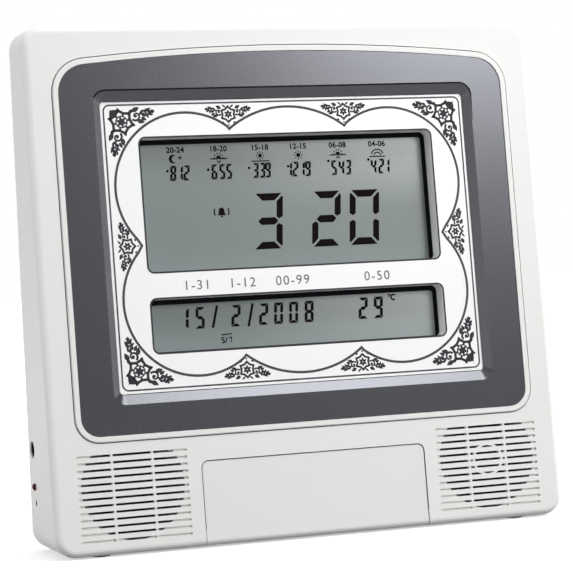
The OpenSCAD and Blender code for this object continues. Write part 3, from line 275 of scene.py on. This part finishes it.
def arc(cx, cz, r, a0, a1, n):
    return [(cx + r * math.cos(math.radians(a0 + (a1 - a0) * i / n)),
             cz + r * math.sin(math.radians(a0 + (a1 - a0) * i / n))) for i in range(n + 1)]


def rounded(half_w, z0, z1, r):
    """The outline of a rectangle with round corners."""
    n = 8
    return (arc(half_w - r, z1 - r, r, 0, 90, n) + arc(r - half_w, z1 - r, r, 90, 180, n)
            + arc(r - half_w, z0 + r, r, 180, 270, n) + arc(half_w - r, z0 + r, r, 270, 360, n))


def disc(cx, cz, r, n):
    return [(cx + r * math.cos(2 * math.pi * i / n), cz + r * math.sin(2 * math.pi * i / n))
            for i in range(n)]


def mirrored(polys, fx, fz=1):
    return [[(fx * x, fz * z) for x, z in p] for p in polys]


def moved(polys, dx, dz, deg=0.0, size=1.0):
    """Shapes scaled, turned about the origin and then moved."""
    c, s = math.cos(math.radians(deg)) * size, math.sin(math.radians(deg)) * size
    return [[(dx + x * c - z * s, dz + x * s + z * c) for x, z in p] for p in polys]


def leaf(x, z, deg, length, width):
    """A pointed leaf that starts at a point and lies along an angle."""
    n = 7
    top = [(length * i / n, width / 2 * math.sin(math.pi * (i / n) ** 0.8)) for i in range(n + 1)]
    low = [(a, -b) for a, b in reversed(top[1:-1])]
    return moved([top + low], x, z, deg)[0]


def ray_leaf(x, z, deg, start, length, width):
    """A leaf that points away from a middle and starts at a distance from it."""
    a = math.radians(deg)
    return leaf(x + start * math.cos(a), z + start * math.sin(a), deg, length, width)


def spiral(x, z, r, deg, way):
    """Points of a scroll that curls in from its outer end at an angle."""
    n, turns, end = 26, 1.1, 0.2
    pts = []
    for i in range(n + 1):
        t = i / n
        a = math.radians(deg + way * 360 * turns * t)
        q = r * (1 - (1 - end) * t)
        pts.append((x + q * math.cos(a), z + q * math.sin(a)))
    return pts


def star(x, z, r0, r1, width, deg):
    """A pointed ring with six points, from its outer to its inner radius."""
    pts = []
    for i in range(12):
        a = math.radians(deg + 30 * i)
        r = r0 if i % 2 == 0 else r1
        pts.append((x + r * math.cos(a), z + r * math.sin(a)))
    return strip(pts, width, closed=True)


# ---------------------------------------------------------------- lines and seals

# The panel's frame line: its half width, its lower and upper edge and its radius.
FRAME_LINE = (99.15, 81.95, 228.3, 3.2)
FRAME_LINE_W = 0.85
print_mesh("panel_frame_line", strip(rounded(*FRAME_LINE), FRAME_LINE_W, closed=True), PANEL_Y,
           M["line_ink"], PRINT_T)

# Dark lines just outside both windows' edges, and hairlines of painted shade along the panel's
# lower and upper edge in the bezel's opening, where the bevel meets the panel.
WINDOW_LINE_W = 0.9
SEAM_SHADE_W = 0.4
SEAM_SHADES = ((-100.4, 100.0, 80.02), (-99.0, 99.0, 230.05))
past = WINDOW_LINE_W / 2
lines = []
for z0, z1 in (LOWER_WINDOW, UPPER_WINDOW):
    lines += strip(rounded(WINDOW_HALF_W + past, z0 - past, z1 + past, WINDOW_R + past),
                   WINDOW_LINE_W, closed=True)
for x0, x1, z in SEAM_SHADES:
    lines += strip([(x0, z), (x1, z)], SEAM_SHADE_W)
print_mesh("panel_window_lines_and_seam_shade", lines, PANEL_Y, M["ink"], PRINT_T)

# Painted shade on the bezel: a black line along the upper edge of its bevel, thin where it starts.
EDGE_X, EDGE_Z, EDGE_SHADE_R, EDGE_START_Z = 98.5, 228.77, 6.8, 216.0
EDGE_SHADE_W = 0.85
edge = [(EDGE_X + EDGE_SHADE_R, EDGE_START_Z)] + arc(EDGE_X, EDGE_Z, EDGE_SHADE_R, 0, 90, 10)
edge += arc(-EDGE_X, EDGE_Z, EDGE_SHADE_R, 90, 150, 8)
print_mesh("bezel_edge_painted_shade", strip(edge, lambda t: EDGE_SHADE_W * min(1.0, 0.25 + 9 * t)), BEZEL_Y,
           M["shade_black"], SHADE_T)

# Painted shade in the groove: a dark line along the bezel's outline, grown by the lip and half the
# groove.
# Its round corners above and below, and its arch, each have a centre and a radius.
GROWN = 3.3
TOP_X, TOP_Z, TOP_R = 108.0, 234.14083, 15 + GROWN
FOOT_X, FOOT_Z, FOOT_R = 113.5, 69.3, 9.5 + GROWN
ARCH_Z, ARCH_R, ARCH_START = -858.53479, 1113 + GROWN, 84.35522
GROOVE_SHADE_W, GROOVE_SHADE_Y = 0.50, 0.58
groove = arc(TOP_X, TOP_Z, TOP_R, 0, ARCH_START, 12)
groove += arc(0, ARCH_Z, ARCH_R, ARCH_START, 180 - ARCH_START, 24)
groove += arc(-TOP_X, TOP_Z, TOP_R, 180 - ARCH_START, 180, 12)
groove += arc(-FOOT_X, FOOT_Z, FOOT_R, 180, 270, 12) + arc(FOOT_X, FOOT_Z, FOOT_R, 270, 360, 12)
print_mesh("lip_groove_painted_shade", strip(groove, GROOVE_SHADE_W, closed=True), GROOVE_SHADE_Y, M["groove_shade"],
           SHADE_T)

# Painted shade: a dark line along the pocket's edge, in the gap round the flap.
GAP_X, GAP_Z, GAP_R, GAP_FOOT_Z = 57.8, 39.8, 3.8, 9.0
GAP_SHADE_W, GAP_SHADE_Y = 0.4, 0.25
gap_shade = [(GAP_X + GAP_R, GAP_FOOT_Z)] + arc(GAP_X, GAP_Z, GAP_R, 0, 90, 10)
gap_shade += arc(-GAP_X, GAP_Z, GAP_R, 90, 180, 10) + [(-GAP_X - GAP_R, GAP_FOOT_Z)]
print_mesh("flap_gap_painted_shade", strip(gap_shade, GAP_SHADE_W), GAP_SHADE_Y, M["shade_black"],
           ORNAMENT_T)

# ---------------------------------------------------------------- scalloped line

# Its middle height, its four round lobes, its cusps, and the arcs between the cusps above and
# below the windows.
MID_Z = 155.45
LOBE_X, LOBE_Z, LOBE_R = 56.6, 29.2, 39.0
LOBE_START = math.degrees(math.atan2(29.6, -24.45))
LOBE_END = math.degrees(math.atan2(-29.2, 27.1))
CUSP_X, CUSP_Z = 32.15, 59.05
SIDE_CUSP_X = 83.75
SIDE_CLEAR = 3.2
MIDDLE_Z, MIDDLE_R = 17.5, 52.5
SCALLOP_W = 1.3


def quarter(fx, fz):
    """The scalloped line from an upper or lower cusp to a side cusp."""
    lobe = arc(LOBE_X, LOBE_Z, LOBE_R, LOBE_START, LOBE_END, 60)[1:]
    pts = [(CUSP_X, CUSP_Z)] + [p for p in lobe if p[1] > SIDE_CLEAR] + [(SIDE_CUSP_X, 0.0)]
    return [(fx * x, MID_Z + fz * z) for x, z in pts]


def middle(fz):
    """The scalloped line from cusp to cusp above or below the windows."""
    half = math.degrees(math.asin(CUSP_X / MIDDLE_R))
    pts = arc(0, MIDDLE_Z, MIDDLE_R, 90 + half, 90 - half, 32)
    return [(fz * x, MID_Z + fz * z) for x, z in pts]


scallop = (middle(1) + quarter(1, 1)[1:] + quarter(1, -1)[-2::-1] + middle(-1)[1:]
           + quarter(-1, -1)[1:] + quarter(-1, 1)[-2:0:-1])
print_mesh("panel_scallop_line", strip(scallop, SCALLOP_W, closed=True), PANEL_Y, M["line_ink"],
           ORNAMENT_T)

# ---------------------------------------------------------------- ornament

# Where each ornament's origin stands, from the panel's middle.
CORNER_X, CORNER_Z = 97.4, 71.8
ABOVE_CUSP_Z = 66.9
BESIDE_CUSP_X = 91.6


def scroll_arm(length, height, line_w):
    """Three scrolls with leaves along +x from the origin, below z = 0, that taper to a point."""
    curls = 3
    out = []
    x = 0.0
    for i in range(curls):
        share = 1 - i / (curls + 0.8)
        r = height * 0.34 * share
        cz = -height * 0.5 * share
        up = 1 if i % 2 == 0 else -1
        out += strip(spiral(x + r, cz, r, 180 + 40 * up, up), lambda t: line_w * (1.2 - 0.5 * t))
        out.append(disc(x + r, cz, line_w * 0.75, 8))
        out.append(leaf(x + 0.2 * r, cz + 0.95 * up * r, 28 * up, 1.8 * r, 1.0 * r))
        out.append(leaf(x + 1.2 * r, cz - 0.95 * up * r, -12 * up, 1.7 * r, 0.95 * r))
        out.append(leaf(x + 1.75 * r, cz + 0.2 * up * r, 50 * up, 1.2 * r, 0.6 * r))
        x += 1.95 * r
    out.append(leaf(x - 0.4, -height * 0.2, 3, max(1.5, length - x), height * 0.3))
    return out


def corner_ornament():
    """Ornament of the upper right corner: the corner is the origin, two arms run away from it."""
    cx, cz = -7.5, -7.7
    arm_start, arm_edge = 5.3, 1.1
    out = star(cx, cz, 6.1, 4.6, 1.4, 15)
    out += strip(disc(cx, cz, 2.95, 20), 0.7, closed=True)
    for deg in range(15, 360, 60):
        out.append(ray_leaf(cx, cz, deg, 0.3, 2.7, 1.5))
        out.append(ray_leaf(cx, cz, deg, 5.0, 2.7, 1.9))
        out.append(ray_leaf(cx, cz, deg + 30, 3.1, 1.6, 1.3))
    out.append(disc(cx, cz, 0.8, 12))
    for x, z, deg, length, width in (
            (-4.6, -4.6, 45, 4.6, 2.3), (-6.6, -2.5, 8, 5.2, 1.7), (-2.4, -6.8, 82, 5.2, 1.7),
            (-11.5, -2.6, 165, 3.6, 1.8), (-2.5, -11.7, -75, 3.6, 1.8)):
        out.append(leaf(x, z, deg, length, width))
    arm = scroll_arm(13.2, 7.4, 1.0)
    out += moved(mirrored(arm, -1), cx - arm_start, -arm_edge)
    out += moved(arm, -arm_edge, cz - arm_start, -90)
    return out


def cusp_ornament():
    """Ornament above a cusp: its middle at the origin, its arms along both x ways."""
    cz = -0.2
    out = star(0, cz, 4.1, 3.0, 1.05, 30)
    for deg in range(30, 360, 60):
        out.append(ray_leaf(0, cz, deg, 0.2, 2.3, 1.25))
        out.append(ray_leaf(0, cz, deg, 3.2, 1.5, 1.2))
    out.append(disc(0, -5.9, 0.5, 8))
    out += [leaf(-2.4, -4.9, 150, 1.8, 0.9), leaf(2.4, -4.9, 30, 1.8, 0.9)]
    arm = scroll_arm(9.8, 5.4, 0.75)
    for f in (1, -1):
        out += moved(mirrored(arm, f), f * 3.4, 3.8)
        out.append(leaf(f * 1.2, 3.3, 90 - f * 50, 2.6, 1.0))
    return out


ornament = []
corner = corner_ornament()
for fx in (1, -1):
    for fz in (1, -1):
        ornament += moved(mirrored(corner, fx, fz), fx * CORNER_X, MID_Z + fz * CORNER_Z)
cusp = cusp_ornament()
for fz in (1, -1):
    for x in (-CUSP_X, CUSP_X):
        ornament += moved(mirrored(cusp, 1, fz), x, MID_Z + fz * ABOVE_CUSP_Z)
side = moved(cusp, 0, 0, -90)
for fx in (1, -1):
    ornament += moved(mirrored(side, fx), fx * BESIDE_CUSP_X, MID_Z)
print_mesh("panel_ornament", ornament, PANEL_Y, M["ink"], ORNAMENT_T)

# ---------------------------------------------------------------- number ranges

DIGIT_SHARE = 0.72
TEXT_HALF = 0.025


def words(name, text, x, z, height, mat, y, track, bolder=0.0):
    """Plain numbers as a thin mesh: x and z are the middle, height is the digits' height."""
    cu = bpy.data.curves.new(name + "_curve", "FONT")
    cu.body = text
    cu.align_x, cu.align_y = "CENTER", "CENTER"
    cu.size = height / DIGIT_SHARE
    cu.space_character = track
    cu.offset = bolder
    cu.extrude = TEXT_HALF
    tmp = bpy.data.objects.new(name + "_text", cu)
    bpy.context.scene.collection.objects.link(tmp)
    bpy.context.view_layer.update()
    me = bpy.data.meshes.new_from_object(tmp.evaluated_get(bpy.context.evaluated_depsgraph_get()))
    bpy.data.objects.remove(tmp)
    me.name = name
    for v in me.vertices:
        v.co = world(x + v.co.x, y - TEXT_HALF - v.co.z, z + v.co.y)
    me.materials.clear()
    me.materials.append(mat)
    o = bpy.data.objects.new(name, me)
    bpy.context.scene.collection.objects.link(o)
    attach(o, "case")


RANGE_Z, RANGE_H, RANGE_TRACK = 133.7, 5.0, 1.2
RANGES = (("1-31", -55.9), ("1-12", -31.2), ("00-99", -3.5), ("0-50", 44.0))
for i, (text, x) in enumerate(RANGES):
    words("panel_range_%d" % (i + 1), text, x, RANGE_Z, RANGE_H, M["label_ink"], PANEL_Y,
          RANGE_TRACK)

# ---------------------------------------------------------------- displays

SEGMENTS = {"0": "abcdef", "1": "bc", "2": "abged", "3": "abgcd", "4": "fgbc", "5": "afgcd",
            "6": "afgedc", "7": "abc", "8": "abcdefg", "9": "abcdfg"}
SLANT = 0.083


def seven(ch, x, z, w, h, t, gap, depth):
    """A seven-segment digit that leans to the right.

    x and z are its lower left corner and t is its stroke. gap and depth are shares of the stroke:
    the gap between segments, and how far the upper and lower bars reach in.
    """
    m, g, d = h / 2, gap * t, depth * t
    tip = m + 1.4 * g
    e = (0.5 + 0.8 * gap) * t
    k = 0.56 * t
    bar = [(g, h), (w - g, h), (w - g - d, h - d), (g + d, h - d)]
    post = [(0, h - g - 0.3 * t), (0.17 * t, h - g - 0.16 * t), (t, h - g - t), (t, tip + 0.33 * t),
            (0.6 * t, tip), (0, tip + 0.33 * t)]
    shapes = {
        "a": bar,
        "b": [(w - p, q) for p, q in post],
        "c": [(w - p, h - q) for p, q in post],
        "d": [(p, h - q) for p, q in bar],
        "e": [(p, h - q) for p, q in post],
        "f": post,
        "g": [(e, m), (e + k, m + k), (w - e - k, m + k), (w - e, m), (w - e - k, m - k),
              (e + k, m - k)],
    }
    return [[(x + p + SLANT * q, z + q) for p, q in shapes[s]] for s in SEGMENTS[ch]]


def number(text, places, z, w, h, t, gap=0.08, depth=1.1):
    """Seven-segment digits in a row: places has the left edge of each."""
    return [p for ch, x in zip(text, places) for p in seven(ch, x, z, w, h, t, gap, depth)]


# The time, whose digits differ a little in width.
TIME_Z, TIME_H, TIME_STROKE, TIME_GAP = 151.5, 29.4, 3.45, 0.25
big = []
for ch, x, w in (("3", -20.6, 16.1), ("2", 12.1, 16.2), ("0", 33.4, 16.9)):
    big += number(ch, [x], TIME_Z, w, TIME_H, TIME_STROKE, gap=TIME_GAP)
print_mesh("time_digits", big, GLASS_Y, M["segment"], PRINT_T)

# The six small times: the digits, the left edge of each, and the dot before them.
SMALL_TIMES = (
    ("812", (-63.5, -59.9, -56.3), (-64.6, 194.5)),
    ("655", (-41.0, -36.7, -32.9), (-42.4, 194.5)),
    ("339", (-18.2, -14.5, -11.4), (-19.8, 194.7)),
    ("1219", (0.55, 4.1, 7.7, 11.1), (2.0, 194.9)),
    ("543", (26.0, 30.2, 34.1), (25.0, 197.0)),
    ("421", (48.7, 53.1, 56.3), (47.9, 197.0)),
)
SMALL_Z, SMALL_W, SMALL_H, SMALL_STROKE = 189.3, 3.3, 7.9, 1.25
DOT_R = 0.75
small = []
for text, places, dot in SMALL_TIMES:
    small += number(text, places, SMALL_Z, SMALL_W, SMALL_H, SMALL_STROKE)
for text, places, (x, z) in SMALL_TIMES:
    small.append(disc(x, z, DOT_R, 8))
print_mesh("hour_digits", small, GLASS_Y, M["segment"], PRINT_T)

# The date with its two slashes, the temperature with its sign, and the weekday as 5/7.
DATE_X = (-64.4, -55.7, -36.1, -20.8, -12.5, -4.1, 4.6)
DATE_Z, DATE_DEPTH = 111.8, 0.95
SLASHES = ((-46.2, 111.8, 123.3), (-26.6, 111.5, 123.4))
SLASH_RUN, SLASH_W = 3.1, 1.35
WEEKDAY_Z, WEEKDAY_H = 103.5, 3.1
date = number("1522008", DATE_X, DATE_Z, 5.0, 11.2, 1.6, depth=DATE_DEPTH)
for x, z0, z1 in SLASHES:
    date += strip([(x, z0), (x + SLASH_RUN, z1)], SLASH_W)
date += number("29", (35.2, 43.9), DATE_Z, 5.2, 11.4, 1.7, depth=DATE_DEPTH)
date += strip(disc(53.7, 123.6, 0.62, 12), 0.5, closed=True)
date += strip(arc(56.1, 122.5, 1.35, 50, 310, 14), 0.85)
date += number("57", (-42.2, -38.4), WEEKDAY_Z, 2.0, WEEKDAY_H, 0.62)
date += strip([(-39.8, WEEKDAY_Z), (-38.8, WEEKDAY_Z + WEEKDAY_H)], 0.5)
date += strip([(-42.0, 107.8), (-36.2, 108.2)], 0.6)
print_mesh("date_digits", date, GLASS_Y, M["segment"], PRINT_T)

# ---------------------------------------------------------------- signs on the display

SIGN_W = 0.5
RAY_W = 0.46
SOUND_W = 0.55


def sun(z, r, way=0):
    """A small sun. With a way it stands half above a horizon, and a hook shows it rise or set."""
    if way:
        out = [[(r * math.cos(a * math.pi / 12), z + r * math.sin(a * math.pi / 12))
                for a in range(13)]]
        out += strip([(-3.4 * r, z - 0.3), (3.4 * r, z - 0.3)], SIGN_W)
        angles = range(0, 181, 36)
    else:
        out = [disc(0, z, r, 16)]
        angles = range(0, 360, 45)
    for a in angles:
        c, s = math.cos(math.radians(a)), math.sin(math.radians(a))
        out += strip([(1.45 * r * c, z + 1.45 * r * s), (2.15 * r * c, z + 2.15 * r * s)], RAY_W)
    if way:
        q = z - 1.5
        out += strip([(-0.9, q - 0.4 * way), (0, q + 0.5 * way), (0.9, q - 0.4 * way)], SIGN_W)
    return out


def sign(kind):
    """The sign of one hour range, round the origin."""
    if kind == "moon":
        outer, inner = arc(-1.2, 0, 1.9, 60, 300, 18), arc(-0.3, 0, 1.45, 70, 290, 18)
        return ([outer + list(reversed(inner))] + strip([(2.0, 1.3), (2.0, -0.3)], SIGN_W)
                + strip([(1.2, 0.5), (2.8, 0.5)], SIGN_W))
    if kind == "noon":
        return sun(0, 0.95)
    if kind == "low":
        return sun(0.3, 0.9) + strip([(-4.2, -2.1), (4.2, -2.1)], SIGN_W)
    if kind == "dawn":
        return (strip(arc(0, -1.6, 1.7, 10, 170, 12), SIGN_W)
                + strip(arc(0, -1.6, 3.0, 20, 160, 14), SIGN_W)
                + strip([(-3.8, -1.8), (3.8, -1.8)], SIGN_W))
    return sun(-0.2, 1.15, 1 if kind == "rise" else -1)


def bell():
    """A bell with a sound arc at each side, where the photo marks the half of the day."""
    flare = [(1.2, 0.6), (1.4, -0.7), (1.9, -1.3)]
    body = [(-x, z) for x, z in reversed(flare)] + arc(0, 0.7, 1.15, 170, 10, 10) + flare
    out = [body, disc(0, -1.75, 0.42, 10)]
    angles = [-0.9 + 1.8 * i / 8 for i in range(9)]
    sound = [(2.2 + 0.9 * math.cos(a), 0.1 + 1.7 * math.sin(a)) for a in angles]
    for f in (1, -1):
        out += strip([(f * x, z) for x, z in sound], SOUND_W)
    return out


# The six hour ranges: their numbers, their middle and their sign.
HOURS = (("20-24", -59.7, "moon"), ("18-20", -36.2, "set"), ("15-18", -13.2, "low"),
         ("12-15", 8.2, "noon"), ("06-08", 30.7, "rise"), ("04-06", 53.3, "dawn"))
SIGN_Z, SIGN_SIZE = 200.7, 1.2
HOUR_Z, HOUR_H, HOUR_TRACK, HOUR_BOLDER = 205.3, 2.9, 1.05, 0.12
BELL_X, BELL_Z, BELL_SIZE = -36.75, 172.0, 1.3
signs = []
for text, x, kind in HOURS:
    signs += moved(sign(kind), x, SIGN_Z, size=SIGN_SIZE)
signs += moved(bell(), BELL_X, BELL_Z, size=BELL_SIZE)
print_mesh("display_signs", signs, GLASS_Y, M["segment"], PRINT_T)
for i, (text, x, kind) in enumerate(HOURS):
    words("hour_number_%d" % (i + 1), text, x, HOUR_Z, HOUR_H, M["segment"], GLASS_Y,
          HOUR_TRACK, HOUR_BOLDER)

# ---------------------------------------------------------------- painted shadows on the displays

SHADOW_OVER = 0.2
SHADOW_OUT, SHADOW_IN = WINDOW_HALF_W + SHADOW_OVER, 78.7
SHADOW_TOP, SHADOW_LOW = 2.5, 0.55
SHADOW_R = 1.6


def edge_shadow(name, z0, z1):
    """Painted shadow on a display, as a black band round its edge: broad at the sides and the top,
    narrow below.
    """
    top, low, over = z1 - SHADOW_TOP, z0 + SHADOW_LOW, z1 + SHADOW_OVER
    bend = top - SHADOW_R
    flat = SHADOW_IN - SHADOW_R
    polys = []
    for f in (1, -1):
        corner = [(f * x, z) for x, z in arc(flat, bend, SHADOW_R, 0, 90, 6)]
        polys.append([(f * SHADOW_IN, low), (f * SHADOW_IN, bend), (f * SHADOW_OUT, bend),
                      (f * SHADOW_OUT, low)])
        polys += [[a, b, (b[0], over), (a[0], over)] for a, b in zip(corner, corner[1:])]
    for f in (1, -1):
        polys.append([(f * SHADOW_IN, bend), (f * SHADOW_OUT, bend), (f * SHADOW_OUT, over),
                      (f * SHADOW_IN, over)])
    polys.append([(-flat, top), (flat, top), (flat, over), (-flat, over)])
    polys.append([(-SHADOW_OUT, z0 - SHADOW_OVER), (SHADOW_OUT, z0 - SHADOW_OVER), (SHADOW_OUT, low),
                  (-SHADOW_OUT, low)])
    print_mesh(name, polys, GLASS_Y, M["shade_black"], SHADE_T)


edge_shadow("upper_display_painted_shadow", *UPPER_WINDOW)
edge_shadow("lower_display_painted_shadow", *LOWER_WINDOW)

# ---------------------------------------------------------------- floor

FLOOR_HALF = 6.0
FLOOR_NEAR, FLOOR_FAR = 0.35, 1.0
FLOOR_GLOW_NEAR, FLOOR_GLOW_FAR = 0.50, 0.90
FLOOR_SHADE = (0.8, 0.8, 0.8, 1)
WHITE = (1, 1, 1, 1)


def seen_rays(tree):
    """One for camera, glossy and transmission rays: metal and glass show the same background."""
    rays = tree.nodes.new("ShaderNodeLightPath")
    seen = rays.outputs["Is Camera Ray"]
    for kind in ("Is Glossy Ray", "Is Transmission Ray"):
        either = tree.nodes.new("ShaderNodeMath")
        either.operation = "MAXIMUM"
        tree.links.new(seen, either.inputs[0])
        tree.links.new(rays.outputs[kind], either.inputs[1])
        seen = either.outputs["Value"]
    return seen


def pick_shader(tree, plain, seen, surface):
    """The plain shader lights the object, and the other one is what is seen."""
    pick = tree.nodes.new("ShaderNodeMixShader")
    tree.links.new(seen_rays(tree), pick.inputs["Fac"])
    tree.links.new(plain, pick.inputs[1])
    tree.links.new(seen, pick.inputs[2])
    tree.links.new(pick.outputs["Shader"], surface)


floor_mesh = bpy.data.meshes.new("floor")
floor_mesh.from_pydata([(FLOOR_HALF * x, FLOOR_HALF * y, 0)
                        for x, y in ((-1, -1), (1, -1), (1, 1), (-1, 1))], [], [(0, 1, 2, 3)])
floor = bpy.data.objects.new("floor", floor_mesh)
bpy.context.scene.collection.objects.link(floor)
# What is seen of the floor glows more the farther it lies from the clock, and keeps the shadow.
floor_paint = material("floor_paint", (0.14, 0.14, 0.14), 0.9, vary=0.004, grain=30, bump=0.0,
                       spec=0.1)
tree = floor_paint.node_tree
n, l = tree.nodes, tree.links
distance = n.new("ShaderNodeVectorMath")
distance.operation = "LENGTH"
l.new(first_node(tree, "TEX_COORD").outputs["Object"], distance.inputs[0])
glow = n.new("ShaderNodeEmission")
glow.inputs["Color"].default_value = WHITE
l.new(map_range(tree, distance.outputs["Value"], FLOOR_NEAR, FLOOR_FAR, FLOOR_GLOW_NEAR,
                FLOOR_GLOW_FAR), glow.inputs["Strength"])
shade = n.new("ShaderNodeBsdfDiffuse")
shade.inputs["Color"].default_value = FLOOR_SHADE
both = n.new("ShaderNodeAddShader")
l.new(glow.outputs["Emission"], both.inputs[0])
l.new(shade.outputs["BSDF"], both.inputs[1])
pick_shader(tree, n["Principled BSDF"].outputs["BSDF"], both.outputs["Shader"],
            n["Material Output"].inputs["Surface"])
floor_mesh.materials.append(floor_paint)

# ---------------------------------------------------------------- camera

# The camera that was solved from the photograph, in the face frame.
SENSOR_MM = 36.0
FOCAL_PX, PHOTO_PX = 2225.52, 573
CAMERA_PLACE = (-396.074, -1089.535, 57.850)
CAMERA_RIGHT = (0.9410127, -0.3297210, -0.0760206)
CAMERA_DOWN = (-0.0508388, 0.0843475, -0.9951386)
CAMERA_AHEAD = (0.3345303, 0.9403029, 0.0626095)
CLIP_END = 100

camera = bpy.data.cameras.new("camera")
camera.sensor_width = SENSOR_MM
camera.lens = SENSOR_MM * FOCAL_PX / PHOTO_PX
camera.clip_end = CLIP_END
cam = bpy.data.objects.new("camera", camera)
bpy.context.scene.collection.objects.link(cam)
axes = Matrix((turn(CAMERA_RIGHT), -turn(CAMERA_DOWN), -turn(CAMERA_AHEAD))).transposed()
cam.matrix_world = Matrix.Translation(world(*CAMERA_PLACE)) @ axes.to_4x4()
bpy.context.scene.camera = cam

# ---------------------------------------------------------------- light

# Each lamp's place, how high it aims, its size and its power.
LAMPS = {
    "key_light": ((0.90, -1.56, 0.90), 0.14, 0.5, 16.5),
    "fill_light": ((-1.9, 0.15, 0.7), 0.13, 1.0, 17.0),
    "top_light": ((0.91, -0.98, 2.31), 0.1, 0.8, 34.0),
    "front_light": ((-0.6, -1.7, 2.0), 0.13, 1.2, 4.0),
    "right_card": ((1.6, -0.1, 0.3), 0.13, 0.8, 6.0),
    "left_card": ((-1.25, -1.15, 0.35), 0.13, 0.7, 2.2),
    "back_light": ((0.9, 1.9, 1.0), 0.13, 1.0, 16.0),
}
for name, (place, aim_z, size, power) in LAMPS.items():
    data = bpy.data.lights.new(name, "AREA")
    data.energy, data.size = power, size
    o = bpy.data.objects.new(name, data)
    bpy.context.scene.collection.objects.link(o)
    o.location = place
    o.rotation_mode = "QUATERNION"
    o.rotation_quaternion = (Vector((0.0, 0.0, aim_z)) - Vector(place)).to_track_quat("-Z", "Y")

# The room is brighter above and to the right.
SKY_RIGHT = 0.45
SKY_DARK, SKY_BRIGHT = 0.15, 0.80
SKY_STRENGTH = 0.50

sky = bpy.data.worlds.new("sky")
bpy.context.scene.world = sky
sky.use_nodes = True
tree = sky.node_tree
n, l = tree.nodes, tree.links
outward = n.new("ShaderNodeTexCoord")
split = n.new("ShaderNodeSeparateXYZ")
l.new(outward.outputs["Generated"], split.inputs["Vector"])
up_right = n.new("ShaderNodeMath")
up_right.operation = "MULTIPLY_ADD"
up_right.inputs[1].default_value = SKY_RIGHT
l.new(split.outputs["X"], up_right.inputs[0])
l.new(split.outputs["Z"], up_right.inputs[2])
room = n["Background"]
room.inputs["Color"].default_value = WHITE
l.new(map_range(tree, up_right.outputs["Value"], SKY_DARK, SKY_BRIGHT, 0.0, SKY_STRENGTH),
      room.inputs["Strength"])
white = n.new("ShaderNodeBackground")
white.inputs["Color"].default_value = WHITE
white.inputs["Strength"].default_value = 1.0
pick_shader(tree, room.outputs["Background"], white.outputs["Background"],
            n["World Output"].inputs["Surface"])

bpy.context.scene.view_settings.view_transform = "Standard"
